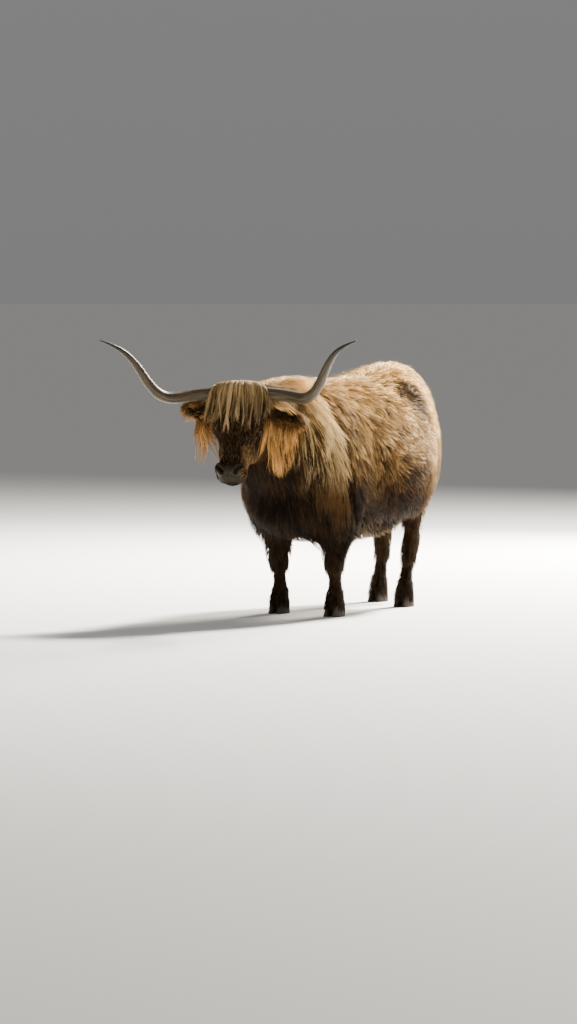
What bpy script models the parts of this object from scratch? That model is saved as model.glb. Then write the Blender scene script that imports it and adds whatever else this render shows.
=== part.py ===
"""A standing Highland cow, life size, as a still museum model.

The solids are the animal in its coat: each one reaches to the tips of the hair. The cow faces -Y, its left side is
+X, and it stands on Z = 0. One closed body is lofted and blended, then parted into trunk, neck, head and legs with
thin cuts. Horns, eyes, ears, forelock, tail and the eight claws are solids of their own that fit against it.
Units are metres.
"""

import math

import bmesh
import bpy
import numpy as np
from mathutils import Matrix, Vector

# ---- driving dimensions -------------------------------------------------------------------------------------------
WITHERS_TOP = 1.12  # top of the coat over the withers
BELLY_BOTTOM = 0.33  # lowest hair of the belly
CUT = 0.0004  # gap between two solids that meet
BODY_VOXEL = 0.0085  # grain of the blended body, before it is thinned
BODY_TRIANGLES = 3750
FORELOCK_VOXEL = 0.006
FORELOCK_TRIANGLES = 480

POLL = Vector((-0.05, -1.02, 1.048))  # crown of the skull, between the horns
HEAD_TURN = math.radians(14)  # the head looks a little to the cow's left
FACE_SLOPE = math.radians(35)  # angle of the face from the vertical
HEAD_LENGTH = 0.436
HORN_GIRTH = 0.0285  # radius at the root
HOOF_HEIGHT = 0.052
CLAW_GAP = 0.0025  # half the cleft between the two claws of a hoof
CLAW_WIDTH = 0.042
CLAW_HEEL = 0.042  # reach behind the foot's middle
CLAW_TOE = 0.060  # reach ahead of it
EYE_RADIUS = 0.018
EAR_DROOP = {1: 0.20, -1: 0.03}  # fall of the ear's own axis for each step out, left and right
FEET = {
    "front_left": (0.165, -0.490),
    "front_right": (-0.165, -0.410),
    "hind_left": (0.150, 0.290),
    "hind_right": (-0.130, 0.580),
}
HOCK_BACK = {"hind_left": 0.100, "hind_right": 0.075}  # from the foot back to the hock
HIP_Y = {"hind_left": 0.38, "hind_right": 0.42}
COLOURS = {
    "coat_gold": (0.56, 0.36, 0.18),
    "coat_brown": (0.20, 0.11, 0.055),
    "coat_dark": (0.055, 0.035, 0.025),
    "horn": (0.42, 0.38, 0.32),
    "eye": (0.015, 0.01, 0.008),
    "hoof": (0.05, 0.042, 0.036),
}


# ---- shape helpers ------------------------------------------------------------------------------------------------
def curve_through(keys, samples):
    """Rows read evenly along a smooth curve through the key rows, by a Catmull-Rom spline."""
    keys = np.array(keys, float)
    padded = np.vstack([2 * keys[0] - keys[1], keys, 2 * keys[-1] - keys[-2]])
    found = []
    for t in np.linspace(0, len(keys) - 1, samples):
        i = min(int(t), len(keys) - 2)
        u = t - i
        a, b, c, d = padded[i : i + 4]
        found.append(
            0.5 * (2 * b + (c - a) * u + (2 * a - 5 * b + 4 * c - d) * u**2 + (3 * b - a - 3 * c + d) * u**3)
        )
    return np.array(found)


def ring(centre, side, up, half_width, above, below, power, points):
    """A superellipse round a centre: half_width to each side, and different reaches above and below."""
    made = []
    for angle in np.linspace(0, 2 * math.pi, points, endpoint=False):
        c, s = math.cos(angle), math.sin(angle)
        across = math.copysign(abs(c) ** (2 / power), c) * half_width
        rise = math.copysign(abs(s) ** (2 / power), s) * (above if s > 0 else below)
        made.append(Vector(centre) + Vector(side) * across + Vector(up) * rise)
    return made


def skin_rings(name, rings):
    """A closed mesh through a row of rings, with a pole at each end."""
    bm = bmesh.new()
    loops = [[bm.verts.new(p) for p in points] for points in rings]
    for a, b in zip(loops, loops[1:]):
        for i in range(len(a)):
            j = (i + 1) % len(a)
            bm.faces.new((a[i], a[j], b[j], b[i]))
    for loop, turned in ((loops[0], True), (loops[-1], False)):
        pole = bm.verts.new(sum((v.co for v in loop), Vector()) / len(loop))
        for i in range(len(loop)):
            pair = (loop[i], loop[(i + 1) % len(loop)])
            bm.faces.new((pair[1], pair[0], pole) if turned else (pair[0], pair[1], pole))
    bmesh.ops.recalc_face_normals(bm, faces=bm.faces)
    return object_of(name, bm)


def object_of(name, bm):
    mesh = bpy.data.meshes.new(name)
    bm.to_mesh(mesh)
    bm.free()
    made = bpy.data.objects.new(name, mesh)
    bpy.context.scene.collection.objects.link(made)
    return made


def tube(name, keys, samples=14, points=16, side=(1, 0, 0), power=2.0):
    """A limb: key rows are x, y, z, half width to the side, half depth the other way."""
    rows = curve_through(keys, samples)
    rings = []
    for i, row in enumerate(rows):
        along = Vector(rows[min(i + 1, samples - 1)][:3]) - Vector(rows[max(i - 1, 0)][:3])
        along.normalize()
        across = Vector(side) - along * along.dot(Vector(side))
        across.normalize()
        other = along.cross(across)
        rings.append(ring(row[:3], across, other, row[3], row[4], row[4], power, points))
    return skin_rings(name, rings)


def settled(obj):
    """The object with its modifiers made part of its mesh."""
    bpy.context.view_layer.update()
    graph = bpy.context.evaluated_depsgraph_get()
    mesh = bpy.data.meshes.new_from_object(obj.evaluated_get(graph))
    obj.modifiers.clear()
    obj.data = mesh
    return obj


def blended(name, pieces, voxel, smoothing, triangles):
    """Overlapping closed pieces grown into one smooth closed surface, then thinned to a number of triangles."""
    bm = bmesh.new()
    for piece in pieces:
        bm.from_mesh(piece.data)
        bpy.data.objects.remove(piece)
    made = object_of(name, bm)
    remesh = made.modifiers.new("grow", "REMESH")
    remesh.mode = "VOXEL"
    remesh.voxel_size = voxel
    smooth = made.modifiers.new("soften", "SMOOTH")
    smooth.factor = 0.5
    smooth.iterations = smoothing
    settled(made)
    faces = sum(len(p.vertices) - 2 for p in made.data.polygons)
    thin = made.modifiers.new("thin", "DECIMATE")
    thin.ratio = min(1.0, triangles / faces)
    return settled(made)


def boolean(obj, other, operation):
    cut = obj.modifiers.new(operation.lower(), "BOOLEAN")
    cut.operation = operation
    cut.solver = "EXACT"
    cut.object = other
    return settled(obj)


def grown(obj, by):
    """A copy of a closed object whose surface lies further out."""
    bm = bmesh.new()
    bm.from_mesh(obj.data)
    bm.normal_update()
    for vert, step in [(v, v.normal * by * min(v.calc_shell_factor(), 1.6)) for v in bm.verts]:
        vert.co += step
    return object_of("cutter_" + obj.name, bm)


def fitted(obj, *neighbours):
    """The object cut back so that it meets each neighbour with the gap of a thin cut."""
    for neighbour in neighbours:
        cutter = grown(neighbour, CUT)
        boolean(obj, cutter, "DIFFERENCE")
        bpy.data.objects.remove(cutter)
    keep_largest(obj)
    return obj


def keep_largest(obj):
    """Drops the crumbs that a cut leaves, so that one body stays."""
    bm = bmesh.new()
    bm.from_mesh(obj.data)
    bmesh.ops.remove_doubles(bm, verts=bm.verts, dist=1e-6)
    left = set(bm.verts)
    islands = []
    while left:
        queue = [left.pop()]
        island = set(queue)
        while queue:
            for edge in queue.pop().link_edges:
                for vert in edge.verts:
                    if vert in left:
                        left.discard(vert)
                        island.add(vert)
                        queue.append(vert)
        islands.append(island)
    largest = max(islands, key=len)
    bmesh.ops.delete(bm, geom=[v for v in bm.verts if v not in largest], context="VERTS")
    bm.to_mesh(obj.data)
    bm.free()


def half(obj, name, point, normal):
    """The share of a closed object on the side of a plane that its normal points to, closed again."""
    bm = bmesh.new()
    bm.from_mesh(obj.data)
    point = Vector(point) + Vector(normal).normalized() * CUT / 2
    cut = bmesh.ops.bisect_plane(
        bm, geom=bm.verts[:] + bm.edges[:] + bm.faces[:], plane_co=point, plane_no=normal, clear_inner=True
    )
    rim = [e for e in cut["geom_cut"] if isinstance(e, bmesh.types.BMEdge)]
    bmesh.ops.contextual_create(bm, geom=rim)
    bmesh.ops.recalc_face_normals(bm, faces=bm.faces)
    bmesh.ops.triangulate(bm, faces=bm.faces)
    return object_of(name, bm)


def material(name, roughness):
    made = bpy.data.materials.get(name) or bpy.data.materials.new(name)
    made.use_nodes = True
    shader = made.node_tree.nodes["Principled BSDF"]
    shader.inputs["Base Color"].default_value = (*COLOURS[name], 1)
    shader.inputs["Roughness"].default_value = roughness
    shader.inputs["Metallic"].default_value = 0.0
    return made


def finish(obj, name, colour, roughness=0.8):
    obj.name = name
    obj.data.name = name
    obj.data.materials.clear()
    obj.data.materials.append(material(colour, roughness))
    obj.data.shade_smooth()
    obj.data.set_sharp_from_angle(angle=math.radians(50))
    return obj


# ---- the head's own frame -----------------------------------------------------------------------------------------
LEFT = Vector((math.cos(HEAD_TURN), math.sin(HEAD_TURN), 0))
FACING = Vector((math.sin(HEAD_TURN), -math.cos(HEAD_TURN), 0))
DOWN_FACE = FACING * math.sin(FACE_SLOPE) - Vector((0, 0, 1)) * math.cos(FACE_SLOPE)
OFF_FACE = FACING * math.cos(FACE_SLOPE) + Vector((0, 0, 1)) * math.sin(FACE_SLOPE)


def on_head(along, off, aside=0.0):
    """A point of the head: along the face from the poll to the nose, off the face, and to the cow's left."""
    return POLL + DOWN_FACE * along + OFF_FACE * off + LEFT * aside


def off_poll(aside, ahead, rise):
    """A point beside, ahead of and above the poll, level with the ground."""
    return POLL + LEFT * aside + FACING * ahead + Vector((0, 0, rise))


# ---- trunk, neck and head cores -----------------------------------------------------------------------------------
def trunk_core():
    # y, top, bottom, half width, height of the widest line, squareness
    keys = [
        (-0.745, 0.84, 0.50, 0.09, 0.64, 2.0),
        (-0.69, 0.97, 0.40, 0.195, 0.66, 2.1),
        (-0.60, 1.06, 0.362, 0.258, 0.66, 2.2),
        (-0.47, WITHERS_TOP - 0.01, 0.352, 0.300, 0.64, 2.2),
        (-0.32, WITHERS_TOP - 0.008, 0.345, 0.292, 0.68, 2.2),
        (-0.12, WITHERS_TOP - 0.012, BELLY_BOTTOM + 0.004, 0.338, 0.68, 2.25),
        (0.08, WITHERS_TOP - 0.004, BELLY_BOTTOM, 0.355, 0.69, 2.3),
        (0.24, WITHERS_TOP + 0.022, 0.345, 0.338, 0.72, 2.3),
        (0.38, WITHERS_TOP + 0.052, 0.42, 0.282, 0.78, 2.12),
        (0.50, WITHERS_TOP + 0.040, 0.52, 0.230, 0.82, 2.05),
        (0.60, WITHERS_TOP - 0.055, 0.62, 0.166, 0.84, 2.0),
        (0.655, WITHERS_TOP - 0.19, 0.74, 0.07, 0.84, 2.0),
    ]
    rings = []
    for y, top, bottom, width, widest, power in curve_through(keys, 40):
        centre = (0, y, widest)
        rings.append(ring(centre, (1, 0, 0), (0, 0, 1), width, top - widest, widest - bottom, power, 32))
    return skin_rings("trunk_core", rings)


def neck_core():
    """From inside the shoulders to behind the jaw, deep and narrow, with the mane above and the dewlap below."""
    # x, y, z of the middle, half width, reach up, reach down
    keys = [
        (0.0, -0.40, 0.82, 0.25, 0.28, 0.30),
        (0.0, -0.56, 0.83, 0.262, 0.285, 0.38),
        (-0.005, -0.69, 0.85, 0.235, 0.265, 0.36),
        (-0.02, -0.80, 0.88, 0.195, 0.232, 0.285),
        (-0.035, -0.90, 0.915, 0.160, 0.195, 0.23),
        (-0.045, -0.985, 0.945, 0.130, 0.160, 0.185),
        (-0.05, -1.035, 0.955, 0.085, 0.10, 0.12),
    ]
    rings = []
    for x, y, z, width, above, below in curve_through(keys, 26):
        rings.append(ring((x, y, z), (1, 0, 0), (0, 0, 1), width, above, below, 2.15, 28))
    return skin_rings("neck_core", rings)


def mantles():
    """The thick hair that hangs over each shoulder and ends in an edge behind it."""
    made = []
    for sign in (-1, 1):
        bm = bmesh.new()
        bmesh.ops.create_icosphere(bm, subdivisions=3, radius=1.0)
        bmesh.ops.scale(bm, vec=(0.105, 0.160, 0.290), verts=bm.verts)
        bmesh.ops.rotate(bm, cent=(0, 0, 0), matrix=Matrix.Rotation(math.radians(-9), 3, "X"), verts=bm.verts)
        bmesh.ops.translate(bm, vec=(0.196 * sign, -0.500, 0.720), verts=bm.verts)
        made.append(object_of("mantle", bm))
    return made


def head_core():
    # along the face, front, back of the jaw (off the face), half width, squareness
    keys = [
        (-0.045, -0.045, -0.10, 0.045, 2.0),
        (-0.025, -0.01, -0.15, 0.082, 2.3),
        (0.02, 0.010, -0.175, 0.100, 2.6),
        (0.09, 0.014, -0.190, 0.108, 2.7),
        (0.165, 0.010, -0.205, 0.110, 2.6),
        (0.232, 0.000, -0.198, 0.090, 2.5),
        (0.298, -0.004, -0.160, 0.071, 2.4),
        (0.354, 0.000, -0.138, 0.066, 2.4),
        (0.398, 0.006, -0.130, 0.0715, 2.5),
        (0.424, -0.004, -0.116, 0.064, 2.5),
        (HEAD_LENGTH, -0.035, -0.085, 0.040, 2.2),
    ]
    rings = []
    for along, front, back, width, power in curve_through(keys, 34):
        middle = (front + back) / 2
        reach = (front - back) / 2
        rings.append(ring(on_head(along, middle), LEFT, OFF_FACE, width, reach, reach, power, 28))
    return skin_rings("head_core", rings)


def face_forms():
    """Brow ridges, cheeks, nostril wings and chin: the forms that make the face a cow's."""
    made = []
    for sign in (-1, 1):
        made.append(blob(on_head(0.145, -0.035, 0.092 * sign), (0.030, 0.042, 0.030)))
        made.append(blob(on_head(0.205, -0.125, 0.066 * sign), (0.034, 0.085, 0.070)))
        made.append(blob(on_head(0.402, -0.022, 0.045 * sign), (0.030, 0.034, 0.030)))
    made.append(blob(on_head(0.408, -0.102, 0.0), (0.047, 0.030, 0.028)))
    return made


def nostrils():
    return [blob(on_head(0.408, 0.004, 0.031 * sign), (0.011, 0.015, 0.013)) for sign in (-1, 1)]


def mouth_line():
    """A shallow groove from one corner of the mouth round under the lip to the other."""
    keys = []
    for share in np.linspace(-1, 1, 7):
        along = HEAD_LENGTH + 0.004 - 0.075 * share**2
        keys.append((*on_head(along, -0.078 - 0.006 * share**2, 0.071 * share), 0.003, 0.006))
    return tube("mouth", keys, samples=13, points=6, side=OFF_FACE)


def blob(centre, radii):
    """An ellipsoid in the head's frame: radii to the side, along the face and off the face."""
    bm = bmesh.new()
    bmesh.ops.create_icosphere(bm, subdivisions=3, radius=1.0)
    frame = Matrix((LEFT, DOWN_FACE, OFF_FACE)).transposed()
    scaled = frame @ Matrix.Diagonal(Vector(radii))
    bmesh.ops.transform(bm, matrix=Matrix.Translation(centre) @ scaled.to_4x4(), verts=bm.verts)
    return object_of("blob", bm)


# ---- legs ---------------------------------------------------------------------------------------------------------
def fore_leg(foot):
    """A fore leg from its pastern up into the shoulder."""
    foot_x, foot_y = FEET[foot]
    out = math.copysign(1, foot_x)
    # x, y, z of the middle, half width, half depth
    keys = [
        (foot_x, foot_y - 0.006, 0.030, 0.046, 0.048),
        (foot_x, foot_y + 0.004, 0.085, 0.042, 0.044),
        (foot_x, foot_y + 0.012, 0.130, 0.041, 0.044),
        (foot_x, foot_y + 0.008, 0.190, 0.037, 0.040),
        (foot_x, foot_y - 0.002, 0.275, 0.054, 0.055),
        (foot_x + 0.006 * out, foot_y + 0.004, 0.340, 0.066, 0.072),
        (foot_x + 0.030 * out, foot_y - 0.005, 0.430, 0.092, 0.112),
        (foot_x + 0.040 * out, foot_y - 0.005, 0.600, 0.098, 0.130),
        (foot_x + 0.010 * out, foot_y, 0.780, 0.080, 0.120),
    ]
    return tube("fore_leg", keys, samples=30, points=18, power=2.2)


def hind_leg(foot):
    """A hind leg from its pastern, over hock and gaskin, up into the haunch."""
    foot_x, foot_y = FEET[foot]
    out = math.copysign(1, foot_x)
    hock_y, hip_y = foot_y + HOCK_BACK[foot], HIP_Y[foot]
    keys = [
        (foot_x, foot_y - 0.006, 0.030, 0.046, 0.050),
        (foot_x, foot_y + 0.010, 0.085, 0.042, 0.046),
        (foot_x, foot_y + 0.024, 0.135, 0.040, 0.045),
        (foot_x, foot_y + 0.045, 0.210, 0.036, 0.043),
        (foot_x, hock_y - 0.020, 0.330, 0.042, 0.058),
        (foot_x, hock_y - 0.010, 0.405, 0.048, 0.066),
        (foot_x + 0.012 * out, hock_y * 0.70 + hip_y * 0.30 - 0.02, 0.500, 0.068, 0.098),
        (foot_x + 0.030 * out, hock_y * 0.35 + hip_y * 0.65 - 0.02, 0.620, 0.092, 0.140),
        (foot_x + 0.022 * out, hip_y, 0.780, 0.105, 0.150),
        (foot_x + 0.010 * out, hip_y, 0.940, 0.095, 0.120),
    ]
    return tube("hind_leg", keys, samples=34, points=18, power=2.2)


def claw(foot, sign):
    """One claw of a cloven hoof: upright walls, a rounded toe and a flat sole."""
    x, y = FEET[foot]
    outline = []
    for angle in np.linspace(0, 2 * math.pi, 14, endpoint=False):
        across = math.cos(angle)
        ahead = math.sin(angle)
        reach = CLAW_TOE if ahead > 0 else CLAW_HEEL
        half_width = CLAW_WIDTH / 2 * (1 - 0.22 * max(ahead, 0))
        px = CLAW_GAP + CLAW_WIDTH / 2 + math.copysign(abs(across) ** 0.8, across) * half_width
        outline.append(Vector((x + sign * px, y - math.copysign(abs(ahead) ** 0.85, ahead) * reach, 0)))
    rings = []
    middle = Vector((x + sign * (CLAW_GAP + CLAW_WIDTH / 2), y, 0))
    # share of the sole's outline, height
    for share, rise in ((0.97, 0.0), (1.0, 0.004), (0.84, HOOF_HEIGHT)):
        lean = Vector((0, 0.016 * rise / HOOF_HEIGHT, rise))
        inner = []
        for p in outline:
            q = middle + (p - middle) * share
            q.x = x + sign * max(sign * (q.x - x), CLAW_GAP)
            inner.append(q + lean)
        rings.append(inner)
    return skin_rings(f"claw_{foot}", rings)


# ---- horns, ears, eyes, forelock, tail ----------------------------------------------------------------------------
def horn(side):
    """Out level from the poll, then forward and up, then out again to a fine tip."""
    # beside the poll, ahead of it, above it, radius
    keys = [
        (0.080, -0.020, 0.003, HORN_GIRTH),
        (0.159, 0.000, -0.002, HORN_GIRTH),
        (0.234, 0.020, -0.010, 0.0275),
        (0.312, 0.068, -0.018, 0.0265),
        (0.362, 0.105, 0.002, 0.0245),
        (0.403, 0.135, 0.052, 0.0222),
        (0.432, 0.160, 0.1050, 0.0192),
        (0.462, 0.190, 0.1540, 0.0158),
        (0.500, 0.220, 0.1960, 0.0118),
        (0.547, 0.245, 0.2250, 0.0070),
        (0.598, 0.258, 0.2467, 0.0022),
    ]
    rows = curve_through(keys, 23)
    points = [off_poll(side * r[0], r[1], r[2]) for r in rows]
    rings = []
    for i, row in enumerate(rows):
        along = (points[min(i + 1, len(points) - 1)] - points[max(i - 1, 0)]).normalized()
        across = along.cross(Vector((0, 0, 1))).normalized()
        rings.append(ring(points[i], across, across.cross(along), row[3], row[3], row[3], 2.0, 10))
    return skin_rings("horn", rings)


def ear(side):
    """A broad ear held out sideways, with its fringe hanging as a curtain below it. The left one droops a little."""
    root = on_head(0.012, -0.090, side * 0.100)
    out = (LEFT * side * 0.98 + FACING * 0.03 - Vector((0, 0, EAR_DROOP[side]))).normalized()
    drop = Vector((0, 0, -1))
    thick = out.cross(drop).normalized()
    # out along the ear, drop below the root's line, half thickness, reach up, reach down
    drooping = [
        (-0.018, 0.008, 0.016, 0.020, 0.050),
        (0.012, 0.002, 0.026, 0.032, 0.215),
        (0.045, 0.004, 0.031, 0.040, 0.305),
        (0.085, 0.010, 0.031, 0.044, 0.310),
        (0.125, 0.022, 0.028, 0.044, 0.235),
        (0.160, 0.036, 0.022, 0.038, 0.125),
        (0.184, 0.046, 0.014, 0.026, 0.055),
        (0.196, 0.052, 0.008, 0.012, 0.018),
    ]
    level = [
        (-0.010, 0.000, 0.020, 0.024, 0.030),
        (0.030, 0.002, 0.028, 0.032, 0.070),
        (0.065, 0.004, 0.031, 0.036, 0.175),
        (0.095, 0.004, 0.030, 0.036, 0.268),
        (0.125, 0.002, 0.027, 0.034, 0.262),
        (0.155, 0.000, 0.022, 0.030, 0.165),
        (0.182, -0.003, 0.015, 0.020, 0.085),
        (0.200, -0.006, 0.007, 0.009, 0.022),
    ]
    rings = []
    for reach, sink, thickness, up, down in curve_through(drooping if side > 0 else level, 14):
        centre = root + out * reach + drop * sink
        rings.append(ring(centre, thick, -drop, thickness, up, down, 2.0, 14))
    return skin_rings("ear", rings)


def eye(side):
    """An eyeball of 36 mm under the brow."""
    bm = bmesh.new()
    bmesh.ops.create_uvsphere(bm, u_segments=12, v_segments=7, radius=EYE_RADIUS)
    bmesh.ops.translate(bm, vec=on_head(0.168, -0.058, side * 0.0955), verts=bm.verts)
    return object_of("eye", bm)


def forelock():
    """The dossan: locks that rise over the poll and fall fanwise to below the eyes."""
    locks = []
    count = 13
    for i in range(count):
        share = 2 * i / (count - 1) - 1
        length = 0.250 - 0.060 * share**2 + 0.020 * math.cos(5 * i)
        spread = 0.142 * share
        lean = 0.012 * math.sin(3.1 * i)
        keys = []
        for step in range(6):
            t = step / 5
            along = -0.055 + length * t + 0.012 * t
            off = -0.035 + 0.066 * math.sin(math.pi * (t * 0.88 + 0.06) ** 0.7) + 0.012 * t
            aside = spread * (0.55 + 0.45 * math.sin(0.5 * math.pi * t)) + lean * t
            width = 0.022 * (1 - t**3) + 0.003
            centre = on_head(along, off, aside)
            keys.append((*centre, width, 0.020 * (1 - t**2) + 0.003))
        locks.append(tube("lock", keys, samples=14, points=10, side=LEFT))
    crown = blob(on_head(-0.024, -0.021, 0), (0.158, 0.067, 0.060))
    return blended("forelock", [*locks, crown], FORELOCK_VOXEL, 2, FORELOCK_TRIANGLES)


def tail():
    """Dock, then a long bushy switch hanging to just below the hocks."""
    keys = [
        (0, 0.470, 1.095, 0.040, 0.050),
        (0, 0.560, 1.100, 0.042, 0.046),
        (0, 0.640, 1.030, 0.040, 0.040),
        (0, 0.682, 0.920, 0.036, 0.036),
        (0.004, 0.694, 0.760, 0.034, 0.034),
        (0.008, 0.698, 0.620, 0.044, 0.042),
        (0.010, 0.700, 0.480, 0.062, 0.056),
        (0.012, 0.702, 0.340, 0.055, 0.050),
        (0.014, 0.704, 0.235, 0.020, 0.018),
    ]
    return tube("tail", keys, samples=20, points=12)


# ---- assembly -----------------------------------------------------------------------------------------------------
def leg_space(foot, wider=0.0):
    """The space that one leg takes below the trunk: a wedge whose roof rises with the flank."""
    x, y = FEET[foot]
    if foot.startswith("front"):
        side_view = [(y - 0.18, 0.0), (y + 0.17, 0.0), (y + 0.17, 0.362), (y - 0.18, 0.372)]
    else:
        side_view = [(y - 0.14, 0.0), (y + 0.30, 0.0), (y + 0.30, 0.62), (y - 0.14, 0.352)]
    inner, outer = sorted((math.copysign(0.035 - wider, x), math.copysign(0.45, x)))
    bm = bmesh.new()
    walls = []
    for across in (inner, outer):
        walls.append([bm.verts.new((across, py + (wider if py > y else -wider), pz + wider)) for py, pz in side_view])
    for i in range(4):
        j = (i + 1) % 4
        bm.faces.new((walls[0][i], walls[0][j], walls[1][j], walls[1][i]))
    bm.faces.new(walls[0])
    bm.faces.new(walls[1])
    bmesh.ops.recalc_face_normals(bm, faces=bm.faces)
    return object_of("space_" + foot, bm)


def centre_on_origin():
    """Moves the cow so that the middle of its bounding box stands over the origin, soles on Z = 0."""
    solids = [obj for obj in bpy.data.objects if obj.type == "MESH"]
    corners = [v.co for obj in solids for v in obj.data.vertices]
    middle = [(min(c[i] for c in corners) + max(c[i] for c in corners)) / 2 for i in range(2)]
    for obj in solids:
        obj.data.transform(Matrix.Translation((-middle[0], -middle[1], 0)))


def build():
    for obj in list(bpy.data.objects):
        bpy.data.objects.remove(obj)

    cores = [trunk_core(), neck_core(), *mantles(), head_core(), *face_forms()]
    cores += [fore_leg(foot) if foot.startswith("front") else hind_leg(foot) for foot in FEET]
    body = blended("body", cores, BODY_VOXEL, 5, BODY_TRIANGLES)

    hooves = {}
    for foot in FEET:
        for label, sign in (("inner", -math.copysign(1, FEET[foot][0])), ("outer", math.copysign(1, FEET[foot][0]))):
            hooves[f"claw_{foot}_{label}"] = claw(foot, sign)

    above_hooves = half(body, "above_hooves", (0, 0, HOOF_HEIGHT), (0, 0, 1))
    bpy.data.objects.remove(body)
    legs = {}
    rest = above_hooves
    for foot in FEET:
        space = leg_space(foot)
        leg = above_hooves.copy()
        leg.data = above_hooves.data.copy()
        bpy.context.scene.collection.objects.link(leg)
        legs[foot] = boolean(leg, space, "INTERSECT")
        keep_largest(leg)
        bpy.data.objects.remove(space)
    for foot in FEET:
        space = leg_space(foot, CUT)
        boolean(rest, space, "DIFFERENCE")
        bpy.data.objects.remove(space)
    keep_largest(rest)

    nape = off_poll(0, -0.15, -0.10)
    throat_normal = (FACING * 0.95 + Vector((0, 0, 0.30))).normalized()
    head = half(rest, "head", nape, throat_normal)
    behind = half(rest, "behind", nape, -throat_normal)
    chest_point, chest_normal = (0, -0.66, 0.85), Vector((0, -0.93, 0.36)).normalized()
    neck = half(behind, "neck", chest_point, chest_normal)
    trunk = half(behind, "trunk", chest_point, -chest_normal)
    for spare in (rest, behind):
        bpy.data.objects.remove(spare)

    horns = {s: horn(s) for s in (-1, 1)}
    eyes = {s: eye(s) for s in (-1, 1)}
    tail_solid = fitted(tail(), trunk, *legs.values())
    ears = {s: ear(s) for s in (-1, 1)}
    lock = fitted(forelock(), head, neck, *eyes.values(), *horns.values(), *ears.values())
    for side, made in ears.items():
        fitted(made, head, neck, horns[side])
    fitted(head, *horns.values(), *eyes.values())
    for opening in (*nostrils(), mouth_line()):
        boolean(head, opening, "DIFFERENCE")
        bpy.data.objects.remove(opening)
    keep_largest(head)

    finish(trunk, "trunk", "coat_gold")
    finish(neck, "neck", "coat_gold")
    finish(head, "head", "coat_brown")
    finish(lock, "forelock", "coat_gold")
    finish(tail_solid, "tail", "coat_brown")
    for foot, leg in legs.items():
        finish(leg, f"leg_{foot}", "coat_dark")
    for sign, label in ((1, "left"), (-1, "right")):
        finish(horns[sign], f"horn_{label}", "horn", 0.45)
        finish(eyes[sign], f"eye_{label}", "eye", 0.1)
        finish(ears[sign], f"ear_{label}", "coat_gold")
    for name, hoof in hooves.items():
        finish(hoof, name, "hoof", 0.6)
    centre_on_origin()


build()
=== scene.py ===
import math

import bmesh
import bpy
import numpy as np
from mathutils import Matrix, Vector, bvhtree, kdtree


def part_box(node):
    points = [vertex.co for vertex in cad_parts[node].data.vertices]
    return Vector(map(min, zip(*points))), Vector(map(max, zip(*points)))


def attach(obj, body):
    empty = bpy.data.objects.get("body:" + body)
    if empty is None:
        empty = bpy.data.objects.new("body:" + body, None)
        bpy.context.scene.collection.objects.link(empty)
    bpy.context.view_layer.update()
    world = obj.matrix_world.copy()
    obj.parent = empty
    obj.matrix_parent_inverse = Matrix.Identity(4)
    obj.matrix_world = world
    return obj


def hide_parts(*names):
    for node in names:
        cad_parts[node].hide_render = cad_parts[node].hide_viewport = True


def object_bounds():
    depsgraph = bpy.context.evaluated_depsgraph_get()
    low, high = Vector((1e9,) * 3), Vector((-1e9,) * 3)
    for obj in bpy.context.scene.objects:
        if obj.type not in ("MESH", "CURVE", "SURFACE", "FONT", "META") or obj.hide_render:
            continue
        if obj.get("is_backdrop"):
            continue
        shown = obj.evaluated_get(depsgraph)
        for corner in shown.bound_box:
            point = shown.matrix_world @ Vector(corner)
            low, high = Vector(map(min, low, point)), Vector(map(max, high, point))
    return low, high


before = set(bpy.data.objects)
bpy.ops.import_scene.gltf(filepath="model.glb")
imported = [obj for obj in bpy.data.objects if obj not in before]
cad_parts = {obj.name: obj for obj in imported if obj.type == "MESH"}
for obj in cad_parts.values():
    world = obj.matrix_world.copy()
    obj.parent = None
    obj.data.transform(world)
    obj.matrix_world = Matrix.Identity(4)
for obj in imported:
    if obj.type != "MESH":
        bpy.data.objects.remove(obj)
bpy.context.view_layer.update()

# ---- driving values, in metres ---------------------------------------------------------------------
FACE_SLOPE = math.radians(35)  # angle of the face from the vertical
EYE_ALONG, EYE_OFF = 0.168, -0.058  # the eyes' place on the head, from the poll
EAR_DROOP = {1: 0.20, -1: 0.03}  # fall of the left and of the right ear's axis for each step out
BODY_VOXEL = 0.010  # grain of the body under the coat, and of the outline round it
SKIN_VOXEL = 0.0065  # grain of the skin
SKIN_KEPT = 0.42  # share of the skin's faces that stays before the head is refined
SEAM = 0.0006  # growth of each solid, to close the space between neighbours
PATCH = 0.003  # width of one lock's place on the unwrapped skin
LOWEST_HAIR = 0.004  # the hair over the hooves stops this far above the floor
DOME_SHARE = 0.42  # how much of a forelock lock's length lies over the poll
WHORL = np.array((0.236, 0.508, 1.03))  # the whorl on the side of the rump
RUMP_START = 0.32  # the coat of the flank is split here, into flank and rump
CLAW_HEEL = 0.042  # from the widest place of a claw back to its heel
UP = Vector((0, 0, 1))
SIDEWAYS = Vector((1, 0, 0))

HEX = {
    # pale straw: the colour of sun-bleached tips, also laid on high up and along the belly's rim as painted
    # sunlight
    "straw_and_painted_sun": "#F0D49C",
    "back_tip": "#DDAD57",
    "back_root": "#664522",
    "flank_tip": "#9E7843",
    "flank_root": "#382410",
    "belly_tip": "#4C3519",
    "belly_root": "#1D0F06",
    "leg_tip": "#2F2212",
    "leg_root": "#180F07",
    "fringe_tip": "#B8996C",
    "fringe_root": "#2B1D14",
    "face_tip": "#7A5E3C",
    "face_root": "#251A12",
    "ear_tip": "#D69C55",
    "ear_root": "#3B2716",
    "muzzle": "#1B150D",
    "muzzle_lip": "#2C2416",
    "horn_pale": "#5A4B33",
    "horn_grey": "#261F14",
    "horn_dark": "#16130F",
    "hoof": "#191613",
    "hoof_mud": "#30271E",
    "iris": "#2A160B",
    "floor": "#EDEBE7",
}


def centre_of(node):
    low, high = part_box(node)
    return (low + high) / 2


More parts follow.
